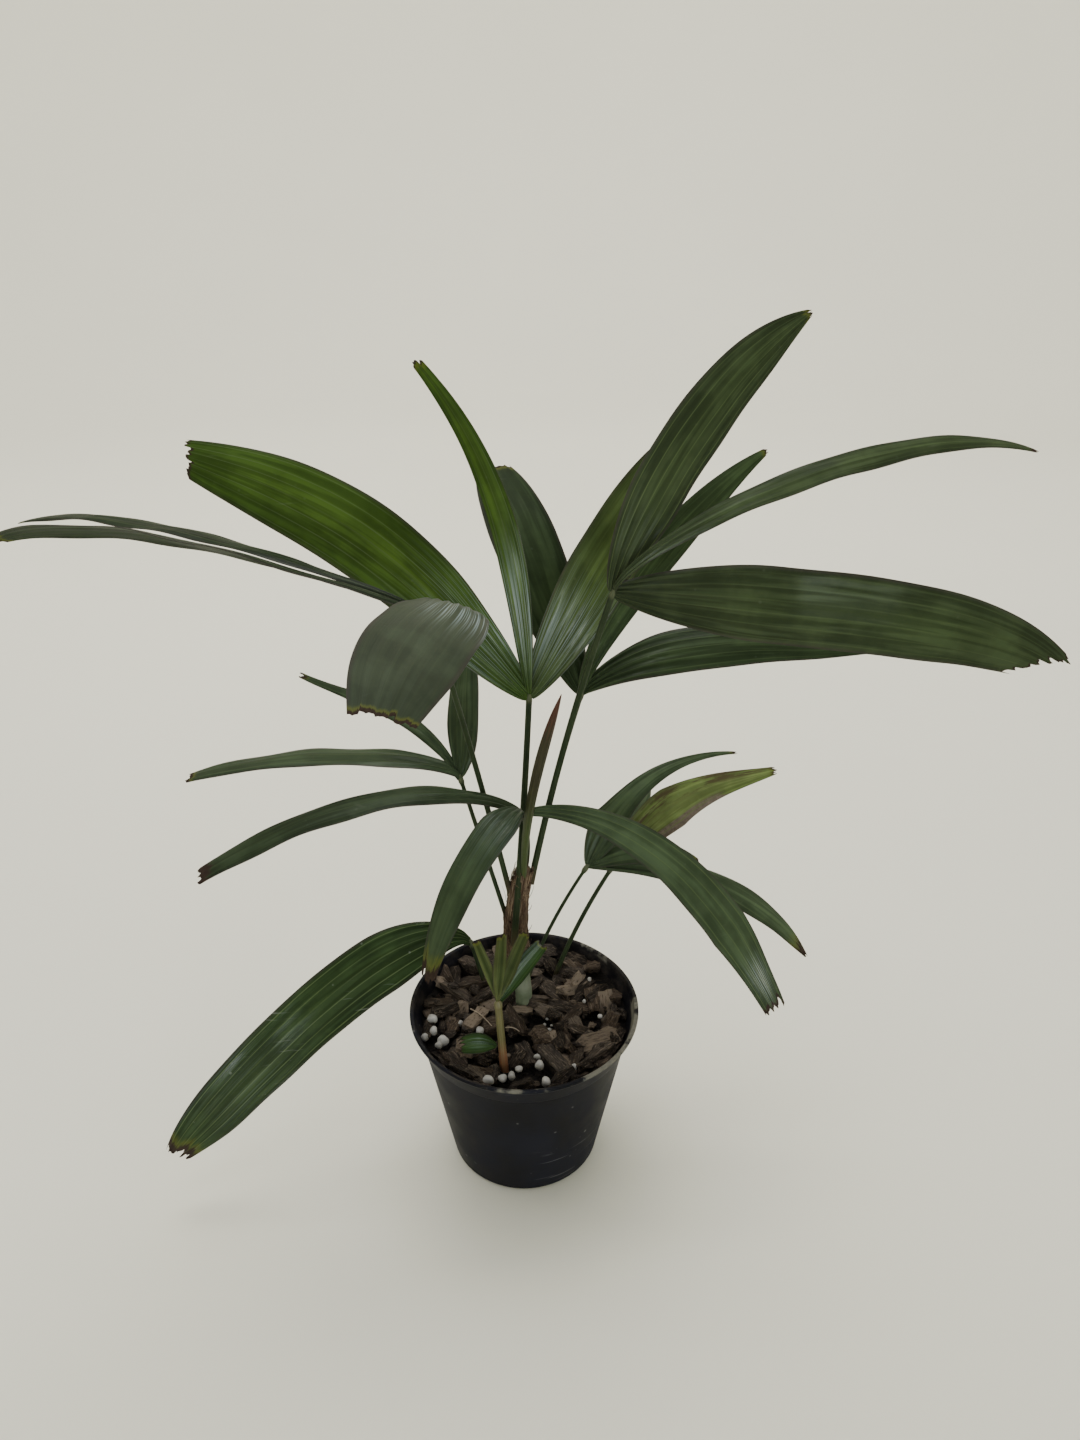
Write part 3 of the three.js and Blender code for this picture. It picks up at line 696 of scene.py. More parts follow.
print("trunk")
trunkSet = dict(
    heights=(70.7, 95, 118, 136, 151), x=(-.6, -1.8, -3.6, -2.4, -.2), y=(10, 10, 10, 9.7, 9.4),
    foot=4.1, thick=4.5, top=3.3, low=70.5, high=151.5, barkFrom=94, sides=96, rows=150,
)
# Each sheath wraps the trunk from low to high, opens away from facing (degrees) and stands out by lift.
sheaths = [
    dict(low=95, high=114, facing=215, wrap=165, lift=.35, slant=9, tone=.35),
    dict(low=98, high=131, facing=330, wrap=150, lift=.65, slant=12, tone=.6),
    dict(low=101, high=127, facing=200, wrap=120, lift=.95, slant=10, tone=.5),
    dict(low=112, high=147, facing=20, wrap=140, lift=.75, slant=9, tone=.75),
    dict(low=118, high=154, facing=300, wrap=95, lift=1.05, slant=6, tone=.85),
]
sheathSet = dict(rows=60, cols=120, thickness=.44, strands=30, strand=5)
fibreSet = dict(
    count=240, steps=16, sides=5, radius=.17, seed=4,
    low=(96, 142), rise=(5, 16), high=153,  # where fibres start, how far they rise and where they end at most
    turn=(.1, 1.1), lift=.95, stray=3.5,  # turn round the trunk in radians, then how far they stand off
)


# The trunk's centre at height z, a polynomial through its five given points.
def trunkCentre(z):
    known = np.array(trunkSet["heights"]) - 110
    x, y = [np.polyval(np.polyfit(known, trunkSet[axis], 4), z - 110) for axis in ("x", "y")]
    return np.stack([x, y, z], -1)


def trunkRadius(z):
    low, high = trunkSet["heights"][0], trunkSet["heights"][-1]
    t = (z - low) / (high - low)
    body = trunkSet["foot"] + (trunkSet["thick"] - trunkSet["foot"]) * smooth(.16, .42, t)
    return body + (trunkSet["top"] - body) * smooth(.42, 1, t)


# Points at height z and angle a round the trunk, out from its surface.
def roundTrunk(z, a, out):
    return trunkCentre(z) + roundPoints(trunkRadius(z) + out, a, 0)


# Relief of matted fibre: fine ridges up the stem, crossed by two slanting families, all from sines.
def barkHeight(z, a, seed):
    random = np.random.default_rng(seed)
    phase = random.uniform(0, 2 * pi, 6)
    ridges = np.sin(23 * a + 1.2 * np.sin(z / 4 + phase[0]) + phase[1]) * np.sin(9 * a + z / 7 + phase[2])
    mat = np.maximum(np.sin(14 * a + z * 1.1 + phase[3]), np.sin(14 * a - z * .9 + phase[4]))
    return .16 * ridges + .14 * mat + .1 * np.sin(5 * a + z / 3 + phase[5])


def trunkCore():
    z = np.linspace(trunkSet["low"], trunkSet["high"], trunkSet["rows"])[:, None]
    z, a = np.broadcast_arrays(z, roundAngles(trunkSet["sides"])[None, :])
    start = trunkSet["barkFrom"]
    rings = roundTrunk(z, a, barkHeight(z, a, 1) * smooth(start, start + 6, z) - .2)[None]
    bark = smooth(start, start + 7, z + 2 * np.sin(a * 2 + 1))
    return skins(rings, bark=bark, tone=.3, level=z, turn=a)


# A thin wrap round the trunk whose upper edge slants down from its front and ends in ragged threads.
def sheathShell(sheath, seed):
    random = np.random.default_rng(seed)
    rows, cols, strands = sheathSet["rows"], sheathSet["cols"], sheathSet["strands"]
    u = np.linspace(-1, 1, cols)[None, :]
    v = np.linspace(0, 1, rows)[:, None]
    a = np.radians(sheath["facing"] + u * sheath["wrap"]) + 0 * v
    ragged = np.repeat(random.uniform(0, 1, strands), cols // strands)[None, :] ** 2 * (1 - .4 * np.abs(u))
    edge = sheath["slant"] * u ** 2 + 4 * np.abs(u) ** 5 + 2.5 - sheathSet["strand"] * ragged
    z = sheath["low"] + v * (sheath["high"] - sheath["low"] - edge)
    flare = .3 * smooth(.75, 1, v) * (1 + np.sin(7 * u + seed))
    out = sheath["lift"] * smooth(0, .12, v) + barkHeight(z, a, seed) + flare
    half = sheathSet["thickness"] / 2
    outer, inner = roundTrunk(z, a, out + half), roundTrunk(z, a, out - half)
    return shell(outer[:, ::-1], inner[:, ::-1], bark=1, tone=sheath["tone"], level=z, turn=a)


# Loose fibres: thin tubes on slanting turns round the sheaths, lifting off at their upper ends.
def fibreTubes():
    random = np.random.default_rng(fibreSet["seed"])
    count = fibreSet["count"]
    u = np.linspace(0, 1, fibreSet["steps"])[None, :]
    spans = fibreSet["low"], fibreSet["rise"], (0, 2 * pi)
    low, rise, start = [random.uniform(*span, count)[:, None] for span in spans]
    turn = random.choice([-1, 1], count)[:, None] * random.uniform(*fibreSet["turn"], count)[:, None]
    z = np.minimum(low + rise * u, fibreSet["high"])
    a = start + turn * u + .12 * np.sin(6 * u + start)
    stray = random.uniform(0, 1, count)[:, None] ** 8 * fibreSet["stray"]
    paths = roundTrunk(z, a, fibreSet["lift"] + .25 * np.sin(9 * u + start) + stray * u ** 2)
    radii = fibreSet["radius"] * random.uniform(.6, 1.3, count)[:, None] * (1 - .6 * u ** 3)
    tone = random.uniform(.3, 1, count)[:, None, None]
    rings = tubeRings(paths, radii, fibreSet["sides"], (0, 0, 1))
    return skins(rings, bark=1, tone=tone, level=z[..., None], turn=a[..., None])


# Matted brown fibre over a pale green foot. Tone goes from dark umber to straw.
def makeBarkMaterial():
    material, clouds = newMaterial("sheathFibre", Specular_IOR_Level=.15), mottled(90.0)
    threads = streaked(times(field("turn"), 4.0), times(field("level"), 6.0), 5.0)
    tone = field("tone")
    dark = blend(tone, (.018, .010, .006), (.060, .036, .022))
    straw = blend(tone, (.052, .033, .019), (.30, .22, .145))
    brown = ramp(clouds["Cloud"], .3, .9, 0, .5)
    fibre = painted(dark, (ramp(threads["Thin"], .42, .68), straw), (brown, (.03, .017, .011)))
    stem = blend(clouds["Cloud"], (.10, .13, .075), (.19, .21, .15))
    colour = blend(field("bark"), stem, fibre)
    rough = timesPlus(clouds["Grain"], .2, .65)
    return finishSurface(material, colour, rough, calc("ADD", threads["Thin"], clouds["Grain"]), .3, .8)


barkMaterial = makeBarkMaterial()
wraps = joined([sheathShell(sheath, k + 2) for k, sheath in enumerate(sheaths)])
for name, parts in (("trunk_core", trunkCore()), ("trunk_sheaths", wraps), ("trunk_fibres", fibreTubes())):
    makePiece(name, parts, barkMaterial, "trunk")

print("spear and shoot")
spearSet = dict(
    foot=(.3, 6.2, 149), tip=(15.2, -22, 251.5), bend=(-3.6, 0, -1), radius=2.05, steps=110, sides=28,
)


# A folded leaf on a bent chord: radius (0.55 + 0.75 t - 1.25 t^7), with a seam and lengthwise folds.
def spearRings():
    t = np.linspace(0, 1, spearSet["steps"])[:, None]
    path = bentLine(spearSet["foot"], spearSet["tip"], spearSet["bend"], t)[0]
    radius = spearSet["radius"] * (.55 + .75 * t[:, 0] - 1.25 * t[:, 0] ** 7) + .05
    a = roundAngles(spearSet["sides"])
    folds = 1 - .06 * np.cos(7 * a) - .22 * np.exp(-((a - 4.2) / .22) ** 2)
    return skins(flutedRings(path, radius, folds), share=t, turn=a * 2, along=100 * t)


# Young folded leaf: green below, olive brown above, reddish brown at its tip.
def makeSpearMaterial():
    material = newMaterial("unopenedLeaf", IOR=1.45, Specular_IOR_Level=.15)
    clouds, lines = stemGrain(80.0, 3.0)
    share = timesPlus(calc("SUBTRACT", lines["Wide"], .5), .12, field("share"))
    colour = painted(
        (.044, .062, .022), (ramp(share, .25, .6), (.026, .023, .012)),
        (ramp(share, .78, .93), (.060, .022, .015)),
        (ramp(lines["Thin"], .45, .7, 0, .35), (.085, .090, .045)),
    )
    rough = timesPlus(clouds["Grain"], .2, .4)
    return finishSurface(material, colour, rough, lines["Thin"], .15, .6)


makePiece("spear", spearRings(), makeSpearMaterial(), "spear_leaf")

shootSet = dict(foot=(-8.2, -28, 66), hub=(-10.5, -28, 108), girth=4, knuckle=1.9)
shootBlade = dict(arch=1, tip=.8, roll=-60, tooth=1.2, pleats=2, burn=.7, halo=2, rowStep=.6, thickness=.3)
shootLeaves = [
    dict(shootBlade, bearing=146, rise=69, reach=31, width=4.5, roll=60),
    dict(shootBlade, bearing=75, rise=73, reach=32, width=7.4),
    dict(shootBlade, bearing=48, rise=57, reach=33, width=6),
    dict(shootBlade, bearing=35, rise=42, reach=32, width=8, tip=.7, pleats=3, tone="shootGreen", burn=.5,
         halo=1.5, gloss=.1, bloom=.25, glossReach=2, glossSide=-2),
]
stubLeaf = dict(
    hub=(-11.6, -28.6, 84.5), bearing=186, rise=4, reach=17, arch=2, width=9, tip=.6, roll=30, tooth=2.4,
    pleats=4, burn=.8, halo=.5, rowStep=.4, thickness=.4, gloss=.4, bloom=.6, glossAt=.45, glossReach=.25,
    glossWidth=.5,
)
shootFan = leafFan(shootSet["hub"], shootLeaves, "shootOlive", 101)
makePiece("shoot_leaves", shootFan, leafMaterial, "shoot_frond")
stub = bladeShell(stubLeaf["hub"], stubLeaf, "shootGreen", 111)
makePiece("stub_leaf", stub, leafMaterial, "shoot_stub_leaf")


# Shoot stem: rusty brown at its foot, olive green with pale lines above.
def makeShootMaterial():
    material = newMaterial("shootStem", IOR=1.45, Coat_Weight=.1, Coat_Roughness=.3)
    clouds, lines = stemGrain(90.0, 3.0)
    level = timesPlus(lines["Wide"], 7.0, field("along"))
    colour = painted(
        (.26, .110, .058), (ramp(level, 12, 27), (.095, .085, .030)),
        (ramp(lines["Thin"], .45, .7, 0, .5), (.17, .17, .085)),
    )
    rough = timesPlus(clouds["Grain"], .2, .42)
    return finishSurface(material, colour, rough, lines["Thin"], .2, .7)


shootRings = stalkRings(shootSet["foot"], (0, 0, 0), shootSet["hub"], shootSet["girth"], shootSet["knuckle"])
makePiece("shoot_stalk", shootRings, makeShootMaterial(), "shoot_stem")

print("potting mix")
mixSet = dict(level=70, slope=.05, rise=3.4, foot=2.8, ring=180, wallRows=12, topRows=70)
potSet = dict(
    height=82, rim=52.5, foot=34.6, floor=2.4, wall=1.3, band=11, step=.9, flare=3.2, lip=.8, lipWall=2.4,
    sides=160, drains=6, drain=4, drainCircle=23,
)
stems = [(-.6, 10), (-8.2, -28), (14, 28), (-18, 20.7)]  # x and y where trunk, shoot and two stalks stand
chipSet = dict(
    count=300, crumbs=700, seed=21, reach=46, crumbReach=47, alongWall=38,  # beyond, chips lie along the wall
    stemRoom=(8, 6, 4.5, 4.5), crumbRoom=(4.4, 3, 2, 2),  # clear radius round each stem for chips and crumbs
    hollows=[(4, 1, 7), (-22, -28, 6.5), (-12, 24, 5)],  # places without chips: x, y and radius
)
# The large chips on top: x, y, length, width, thickness, bearing (degrees) and tone from dark to light.
largeChips = [
    (34, -15, 19, 13, 8, 13, .84), (23, 22, 10, 5.5, 4, 10, .9), (32, 13, 19, 7, 6, -87, .74),
    (-31, 14, 23, 6, 5, -35, .78), (-25, 22, 18, 11, 6, 12, .42), (-27, 33, 12, 9, 7, -43, .5),
    (13, -25, 20, 8, 6, -56, .66), (1, -21, 14, 8, 6, -67, .4), (-40, 7, 15, 9, 7, -4, .45),
    (11, 18, 19, 8, 7, -51, .5), (41, 12, 10, 8, 6, -10, .7), (41, 0, 12, 6, 4, 48, .8),
    (19, -12, 18, 3, 3, -81, .76), (-2, 3, 11, 5, 4, 4, 1), (-38, 27, 11, 6, 6, -62, .62),
    (-25, -4, 12, 7, 6, 82, .66), (-33, -6, 10, 7, 5, 70, .6), (23, 33, 14, 6, 5, -30, .55),
    (33, 31, 7, 6, 5, 5, .74), (25, -8, 12, 6, 5, -30, .3), (2, -40, 10, 5, 4, 22, .6),
    (-17, 40, 10, 6, 5, 20, .5), (5, 38, 13, 7, 6, -10, .4), (24, -25, 14, 7, 6, 75, .35),
    (-30, -26, 12, 7, 5, -50, .5), (36, -28, 10, 6, 5, 40, .45),
]
beadSet = dict(rows=12, ring=16, height=.92)
# White beads: x, y and radius.
beads = [
    (-42, -4, 2.3), (-41, -11, 2.0), (-44.5, -15, 1.9), (-36, -17, 2.6), (-38, -19.5, 1.7), (-29, -4, 1.4),
    (-20, -9, 1.8), (-15, -39, 2.4), (-9, -37.5, 1.9), (-5, -36.5, 1.8), (-2, -31.5, 1.6), (6, -24, 1.5),
    (7, -30, 2.2), (10, -39.5, 2.1), (22, -31, 1.5), (35, -1, 1.1), (28, 9, 1.0), (9.5, -5, .8),
    (11.5, -8, .9), (8.5, -8, .7), (10.5, -2, .7), (12.5, -5.5, .6), (-26, 30, 1.3), (31, 22, 1.2),
]
strawSet = dict(steps=14, sides=7, bow=(.3, .5, .6))
# Straws from end to end, with their radius.
straws = [
    ((-25, 2.5, 77), (-14.5, -8, 76), .34), ((-8.5, -8.5, 75.8), (-2, -10.5, 75.4), .3),
    ((-14.8, 37.5, 80), (-12.8, 29.5, 77.5), .8),
]


# Outer radius of the wall at height z, from the foot to the band.
def wallRadius(z):
    top = potSet["rim"] - potSet["lip"] - potSet["flare"] - potSet["step"]
    return potSet["foot"] + (top - potSet["foot"]) * z / (potSet["height"] - potSet["band"])


# Inner radius of the pot at height z, less a hair: the wall's taper, then the flare of its rim band.
def roomRadius(z):
    band = potSet["height"] - potSet["band"]
    wall = [wallRadius(level) - potSet["wall"] for level in (0, band)]
    radii = (*wall, potSet["rim"] - potSet["lipWall"])
    return np.interp(z, (0, band, potSet["height"] - 2), radii) - .25


# Pieces pressed in from the wall: no point lies outside the pot's inner radius at its height.
def pressedIn(points):
    radius = np.linalg.norm(points[..., :2], axis=-1)
    share = np.minimum(1, roomRadius(points[..., 2]) / np.maximum(radius, 1e-6))
    return points * np.stack([share, share, np.ones_like(share)], -1)


# Height of the fine mix: level + slope y + rise (r / 47)^3, with slow lumps and a low mound round the stem.
def bedLevel(x, y):
    slow = np.sin(x / 3.1 + np.sin(y / 4.3)) * np.sin(y / 2.7 + np.sin(x / 3.7))
    lumps = slow + .5 * np.sin(x / 1.1 + 2) * np.sin(y / 1.3 + 1)
    heap = mixSet["rise"] * (np.hypot(x, y) / 47) ** 3
    mound = 1.8 * np.exp(-((x - 4) ** 2 + (y - 1) ** 2) / 130)
    return mixSet["level"] + mixSet["slope"] * y + heap + .7 * lumps + mound


# The filled pot: out over its floor, up the wall and in over the top to the middle.
def bedRings():
    a = roundAngles(mixSet["ring"])[None, :]
    edge = roomRadius(76)
    level = bedLevel(edge * np.cos(a), edge * np.sin(a))
    wallZ = mixSet["foot"] + (level - mixSet["foot"]) * np.linspace(0, 1, mixSet["wallRows"])[:, None]
    inward = np.linspace(.985, .01, mixSet["topRows"])[:, None]
    floorR = roomRadius(mixSet["foot"]) * np.array([[.3], [.99]]) + 0 * a
    topR = roomRadius(level) * inward
    r = np.concatenate([floorR, roomRadius(wallZ), topR])
    topZ = bedLevel(topR * np.cos(a), topR * np.sin(a))
    z = np.concatenate([np.full(floorR.shape, float(mixSet["foot"])), wallZ, topZ])
    rings = roundPoints(r, a, z)[None]
    # The bed is given a middle value of lit, so it takes part of the painted shade of the gaps.
    return skins(rings, tone=.3, grain=rings, lit=.5)


# Rotation matrices from turns about x, then y, then z.
def turned(angles):
    c, s = np.cos(angles), np.sin(angles)
    about = np.zeros((3, len(angles), 3, 3))
    for axis, (i, j) in enumerate(((1, 2), (2, 0), (0, 1))):
        about[axis, :, axis, axis] = 1
        about[axis, :, i, i] = about[axis, :, j, j] = c[:, axis]
        about[axis, :, i, j] = -s[:, axis]
        about[axis, :, j, i] = s[:, axis]
    return about[2] @ about[1] @ about[0]


# Rough blocks: rings of a squared circle along x, ridged lengthwise, their corners shifted at random, then
# turned into place.
def blocks(centres, sizes, angles, random, rows=5, ring=8, rough=.17, square=.22):
    count = len(centres)
    a = roundAngles(ring, .5)
    cy, cz = [np.sign(part) * np.abs(part) ** square for part in (np.cos(a), np.sin(a))]
    u = np.linspace(-1, 1, rows)
    swell = (1 - .35 * np.abs(u) ** 4)[None, :, None] * random.uniform(.72, 1.05, (count, rows, 1))
    lengthwise = np.broadcast_to(u[None, :, None], (count, rows, ring))
    local = np.stack([lengthwise, swell * cy, swell * cz], -1)
    local[..., 1:] *= 1 + 1.5 * rough * random.uniform(-1, 1, (count, 1, ring, 1))
    local = local + rough * random.uniform(-1, 1, local.shape)
    scaled = local * (sizes / 2)[:, None, None, :]
    rings = np.einsum("nij,nrkj->nrki", turned(angles), scaled) + centres[:, None, None, :]
    return rings, scaled


def scatter(count, reach, random):
    radius = reach * np.sqrt(random.uniform(0, 1, count))
    around = random.uniform(0, 2 * pi, count)
    return radius, around, radius * np.cos(around), radius * np.sin(around)


def keepClear(x, y, spots):  # True away from the spots: x, y and radius
    return np.all([(x - cx) ** 2 + (y - cy) ** 2 > r * r for cx, cy, r in spots], axis=0)


# How far points stand out of the fine mix, from 0 in the gaps to 1 on top; the bark materials paint shade by
# it.
def standOut(points):
    return smooth(-.5, 4.2, points[..., 2] - bedLevel(points[..., 0], points[..., 1]))


# Bark chips of mixed sizes, lying along the wall near it, with the large ones on top.
def chipPieces():
    random = np.random.default_rng(chipSet["seed"])
    radius, around, x, y = scatter(chipSet["count"], chipSet["reach"], random)
    large = random.uniform(0, 1, chipSet["count"]) ** 1.2
    wide, thick = random.uniform(.6, 1.2, (2, len(x)))
    sizes = np.stack([5.5 + 11 * large, 3.2 + 5.5 * large * wide, 2.4 + 4 * large * thick], -1)
    leans = [random.normal(0, .5, len(x)), random.normal(0, .4, len(x))]
    angles = np.stack([*leans, random.uniform(0, 2 * pi, len(x))], -1)
    nearWall = radius > chipSet["alongWall"]
    angles[nearWall, 2] = around[nearWall] + pi / 2 + random.normal(0, .25, nearWall.sum())
    z = bedLevel(x, y) + 1.6 + random.uniform(-2.2, 2.2, len(x)) * (.5 + .5 * large)
    spots = [(*stem, room) for stem, room in zip(stems, chipSet["stemRoom"])] + chipSet["hollows"]
    spots += [(beadX, beadY, bead + 2.2) for beadX, beadY, bead in beads]
    spots += [(chip[0], chip[1], chip[3] * .45) for chip in largeChips]
    keep = keepClear(x, y, spots)
    topX, topY, length, width, depth, bearing, shade = np.array(largeChips).T
    topZ = bedLevel(topX, topY) + 3.6 - np.hypot(topX, topY) / 25
    lean = random.normal(0, .18, (len(topX), 2))
    centres = np.concatenate([np.stack([x, y, z], -1)[keep], np.stack([topX, topY, topZ], -1)])
    sizes = np.concatenate([sizes[keep], np.stack([length, width, depth], -1)])
    angles = np.concatenate([angles[keep], np.column_stack([lean, np.radians(bearing)])])
    rings, scaled = blocks(centres, sizes, angles, random)
    tone = np.concatenate([random.uniform(0, 1, keep.sum()) ** 1.5, shade])[:, None, None]
    grain = scaled + 40 * random.uniform(0, 1, (len(rings), 1, 1, 3))
    return skins(pressedIn(rings), tone=tone, grain=grain, lit=standOut(rings))


# Fine crumbs of bark and dust between the chips.
def crumbPieces():
    random = np.random.default_rng(chipSet["seed"] + 1)
    x, y = scatter(chipSet["crumbs"], chipSet["crumbReach"], random)[2:]
    sizes = random.uniform(.7, 2.6, (len(x), 3))
    angles = random.uniform(0, 2 * pi, (len(x), 3))
    z = bedLevel(x, y) + random.uniform(-.2, .9, len(x)) + random.choice([0, 0, 0, 2.2], len(x))
    keep = keepClear(x, y, [(*stem, room) for stem, room in zip(stems, chipSet["crumbRoom"])])
    rings, scaled = blocks(np.stack([x, y, z], -1)[keep], sizes[keep], angles[keep], random, 3, 5, .2, .8)
    tone = random.uniform(0, 1, len(rings))[:, None, None]
    return skins(pressedIn(rings), tone=tone, grain=scaled * 3, lit=standOut(rings))


# Lumpy white beads that rest in the mix.
def beadPieces():
    random = np.random.default_rng(chipSet["seed"] + 2)
    x, y, r = np.array(beads).T
    centres = np.stack([x, y, bedLevel(x, y) + 3.4 + r * .5], -1)
    b = np.linspace(0.06, pi - .06, beadSet["rows"])[None, :, None]
    phase = random.uniform(0, 2 * pi, (len(x), 1, 1, 3))
    ball = roundPoints(np.sin(b), roundAngles(beadSet["ring"]), -np.cos(b))
    lumps = 1 + .11 * np.sin(ball[..., :1] * 3 + phase[..., :1])
    lumps = lumps + .10 * np.sin(ball[..., 1:2] * 4 + phase[..., 1:2])
    ball = ball * lumps * r[:, None, None, None] * np.array([1, 1, beadSet["height"]])
    return skins(centres[:, None, None, :] + ball)


# Bark: each piece has its own tone, with grain along it, specks of dust, and painted shade down in the gaps.
def makeBarkChipMaterial(name, dark, mid, light, dust):
    material = newMaterial(name, Specular_IOR_Level=.2)
    clouds, tone = mottled(120.0), field("tone")
    grain = put("Mapping", {"Vector": field("grain", "Vector"), "Scale": (.12, .9, .9)}).outputs[0]
    lines = noise(grain, 1.6, 4, .65, .6)
    weathered = ramp(calc("FRACT", times(tone, 7.3)), .4, .8, 0, .8)
    middle = blend(weathered, mid, [(c + 2 * mid[2]) / 3 for c in mid])
    colour = painted(
        dark, (ramp(tone, .1, .75), middle), (ramp(tone, .72, .95), light),
        (ramp(lines, .50, .74, 0, .8), light), (ramp(lines, .30, .50, .85, 0), [c * .35 for c in dark]),
        (ramp(clouds["Grain"], .62, .75, 0, dust), (.20, .17, .14)),
        # Painted shade: darker the less a point stands out of the fine mix, as if shadowed down in the gaps.
        (ramp(field("lit"), 0, 1, .9, 0), (.0015, .0010, .0006)),
    )
    rough, height = timesPlus(clouds["Cloud"], .2, .7), timesPlus(clouds["Grain"], .4, lines)
    return finishSurface(material, colour, rough, height, 1.1, .9)


# Chalky white beads with small dark pits.
def makeBeadMaterial():
    material, clouds = newMaterial("whiteBead"), mottled(160.0)
    colour = blend(clouds["Cloud"], (.22, .21, .195), (.38, .37, .35))
    colour = blend(ramp(clouds["Grain"], .25, .4, .7, 0), colour, (.12, .10, .08))
    rough = timesPlus(clouds["Grain"], .2, .6)
    return finishSurface(material, colour, rough, clouds["Grain"], .2, .7)


# Dry straws that lie on the chips.
def strawTubes():
    u = np.linspace(0, 1, strawSet["steps"])[None, :, None]
    ends = np.array([straw[:2] for straw in straws], float)
    thick = np.array([straw[2] for straw in straws])[:, None]
    paths = ends[:, :1] * (1 - u) + ends[:, 1:] * u + np.array(strawSet["bow"]) * np.sin(pi * u)
    rings = tubeRings(paths, thick * (1 - .4 * u[..., 0]), strawSet["sides"], (0, 0, 1))
    return skins(rings, tone=1, grain=rings, lit=1)


# Linear base colours of the bark, dark, middle and light, and the share of dust on them.
barkTones = {
    "barkChip": ((.014, .0095, .006), (.052, .036, .024), (.175, .138, .102), .3),
    "fineMix": ((.005, .0035, .0025), (.012, .008, .006), (.04, .028, .02), .05),
    "dryStraw": ((.14, .10, .07), (.22, .16, .11), (.34, .28, .21), .3),
}
barks = {name: makeBarkChipMaterial(name, *tone) for name, tone in barkTones.items()}
mixParts = {
    "mix_bed": (bedRings(), barks["fineMix"]), "bark_chips": (chipPieces(), barks["barkChip"]),
    "bark_crumbs": (crumbPieces(), barks["fineMix"]), "white_beads": (beadPieces(), makeBeadMaterial()),
    "dry_straws": (strawTubes(), barks["dryStraw"]),
}
for name, (parts, material) in mixParts.items():
    makePiece(name, parts, material, "potting_mix", flat=name.startswith("bark"))

print("pot")


# A profile with each corner cut back and replaced by a short quadratic curve.
def roundedProfile(points, radius=.5, steps=4):
    points = np.array(points, float)
    before, corner, after = points[:-2], points[1:-1], points[2:]
    inward, onward = [unit(edge) * np.minimum(radius, np.linalg.norm(edge, axis=1)[:, None] * .4)
                      for edge in (before - corner, after - corner)]
    t = np.linspace(0, 1, steps)[None, :, None]
    start, middle, end = [place[:, None] for place in (corner + inward, corner, corner + onward)]
    curve = start * (1 - t) ** 2 + 2 * middle * t * (1 - t) + end * t ** 2
    return np.concatenate([points[:1], curve.reshape(-1, 2), points[-1:]])


# The wall's profile turned round: outside from the foot's middle up to the lip, then down the inside.
def potRings():
    foot, floor, wall, rim, top = [potSet[key] for key in ("foot", "floor", "wall", "rim", "height")]
    band = top - potSet["band"]
    profile = [
        (.5, 0), (foot - 1.6, 0), *[(wallRadius(z), z) for z in (1.6, 24, 48)], (wallRadius(band), band - .3),
        (wallRadius(band) + potSet["step"], band + .5), (rim - potSet["lip"], top - 2.2), (rim, top - 1.3),
        (rim - .1, top - .25), (rim - .7, top), (rim - 1.9, top - .3), (rim - 2.3, top - 2.2),
        (wallRadius(band) - wall, band), (wallRadius(40) - wall, 40),
        (wallRadius(floor) - wall - .3, floor), (.5, floor),
    ]
    r, z = roundedProfile(profile).T[..., None]
    a = roundAngles(potSet["sides"])[None, :]
    wobble = 1 + .0016 * np.sin(3 * a + .6) + .0009 * np.sin(7 * a)
    rings = roundPoints(r * wobble, a, z)
    inside = np.cumsum(z == z.max())[:, None] > 0
    return skins(rings[None], inside=inside.astype(float))


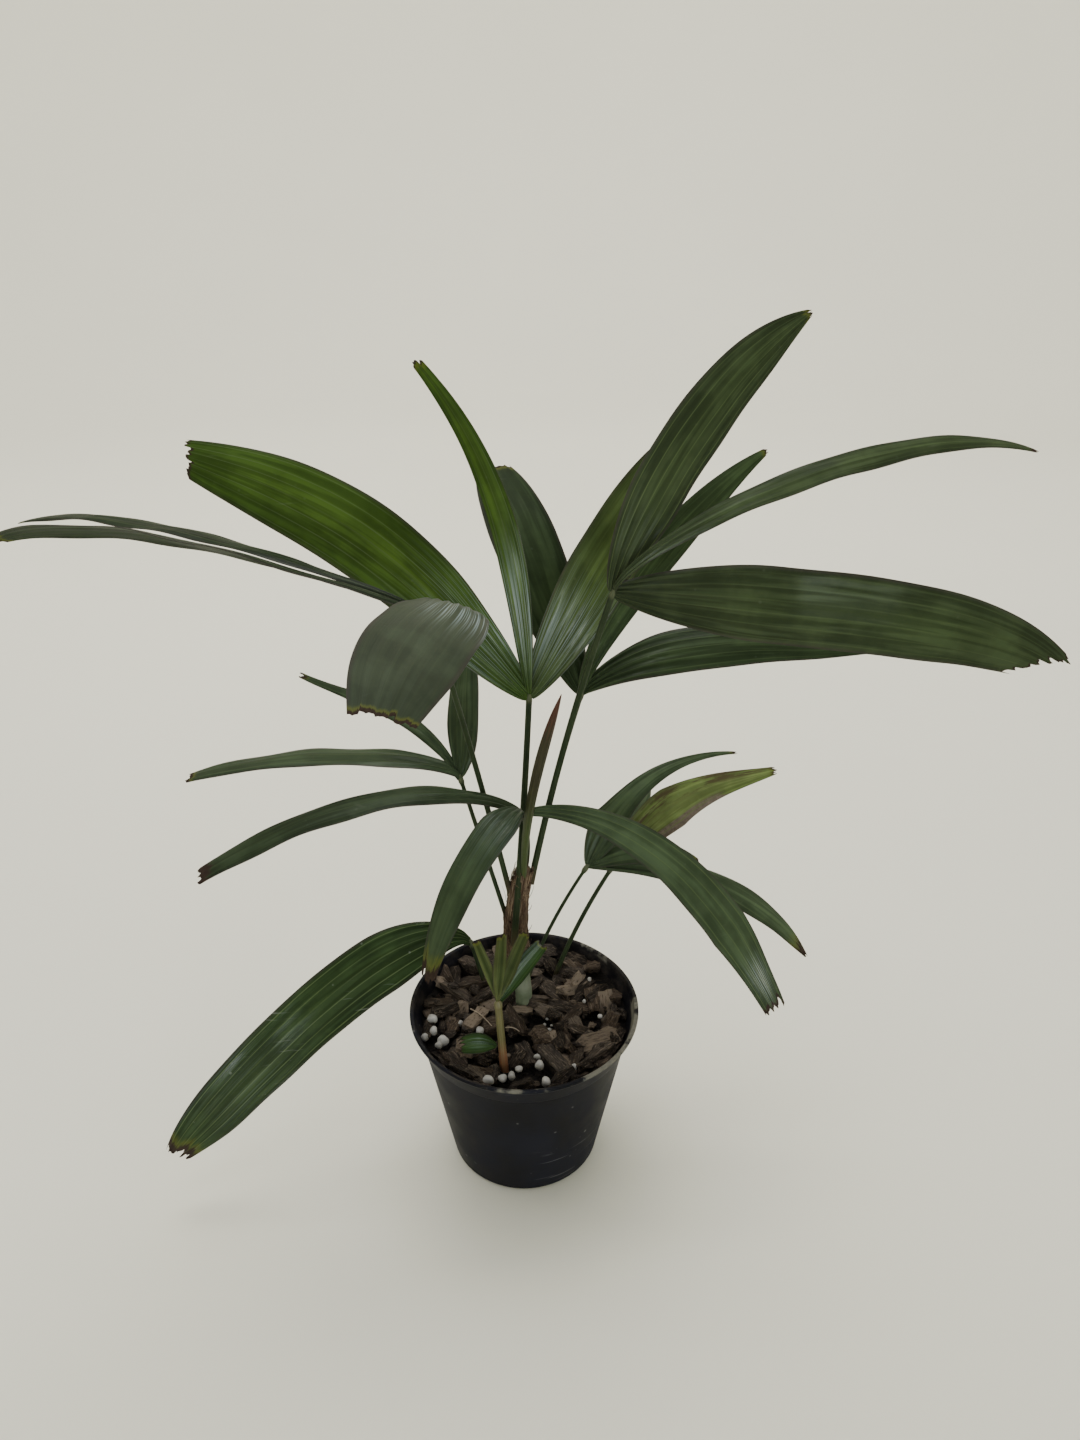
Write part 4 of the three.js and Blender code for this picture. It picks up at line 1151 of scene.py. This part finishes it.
# Thin black nursery plastic: grey scratches, pale specks, limescale on and inside the lip, dust inside.
def makePotMaterial():
    material = newMaterial("blackNurseryPlastic", IOR=1.5, Specular_IOR_Level=.05)
    place, inside, clouds, marks = objectPlace(), field("inside"), mottled(40.0), scuffed(42.0)
    right, back, level = put("SeparateXYZ", {0: place}).outputs
    dusty = times(inside, ramp(noise(place, 90.0, 5, .65), .42, .66, 0, .6))
    right = timesPlus(calc("MAXIMUM", back, 0.0), -1.3, right)  # limescale lies toward the front right
    deeper = times(inside, timesPlus(right, .04, .0008, clamp=True))
    nearLip = ramp(calc("ADD", timesPlus(clouds["Grain"], .0015, level), deeper), .0806, .0822)
    patchy = ramp(timesPlus(right, 2.6, noise(place, 55.0, 4, .6)), .50, .58)
    chalk = blend(clouds["Grain"], (.10, .096, .078), (.23, .22, .18))
    colour = painted(
        blend(clouds["Cloud"], (.0060, .0058, .0072), (.0112, .0116, .0172)),
        (times(marks["Scratches"], .4), (.12, .12, .125)), (times(marks["Specks"], .35), (.22, .22, .21)),
        (dusty, (.045, .038, .031)), (times(times(nearLip, patchy), .75), chalk),
    )
    rough, height = timesPlus(clouds["Cloud"], .16, .42), timesPlus(clouds["Grain"], .5, marks["Scratches"])
    return finishSurface(material, colour, rough, height, .12, .5)


potPiece = makePiece("nursery_pot", potRings(), makePotMaterial(), "pot", sharp=35)

# Drain holes are cut through the floor, then the cutter goes.
around = roundAngles(potSet["drains"], .5)
paths = np.stack([roundPoints(potSet["drainCircle"], around, z) for z in (-3, 0, 3, 6)], 1)
radii = np.full(paths.shape[:2], float(potSet["drain"]))
drainPoints, drainFaces, _ = skins(tubeRings(paths, radii, 32, (1, 0, 0)))
cutterMesh = bpy.data.meshes.new("drainCutter")
cutterMesh.from_pydata((drainPoints * mm).tolist(), [], drainFaces[0].tolist() + drainFaces[1].tolist())
cutter = addObject("drainCutter", cutterMesh)
drilling = potPiece.modifiers.new("drains", "BOOLEAN")
drilling.object, drilling.operation, drilling.solver = cutter, "DIFFERENCE", "EXACT"
drilled = bpy.data.meshes.new_from_object(potPiece.evaluated_get(bpy.context.evaluated_depsgraph_get()))
potPiece.modifiers.clear()
potPiece.data = drilled
bpy.data.objects.remove(cutter)

total = sum(len(piece.data.loops) - 2 * len(piece.data.polygons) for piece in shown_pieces())
print("triangles", total)
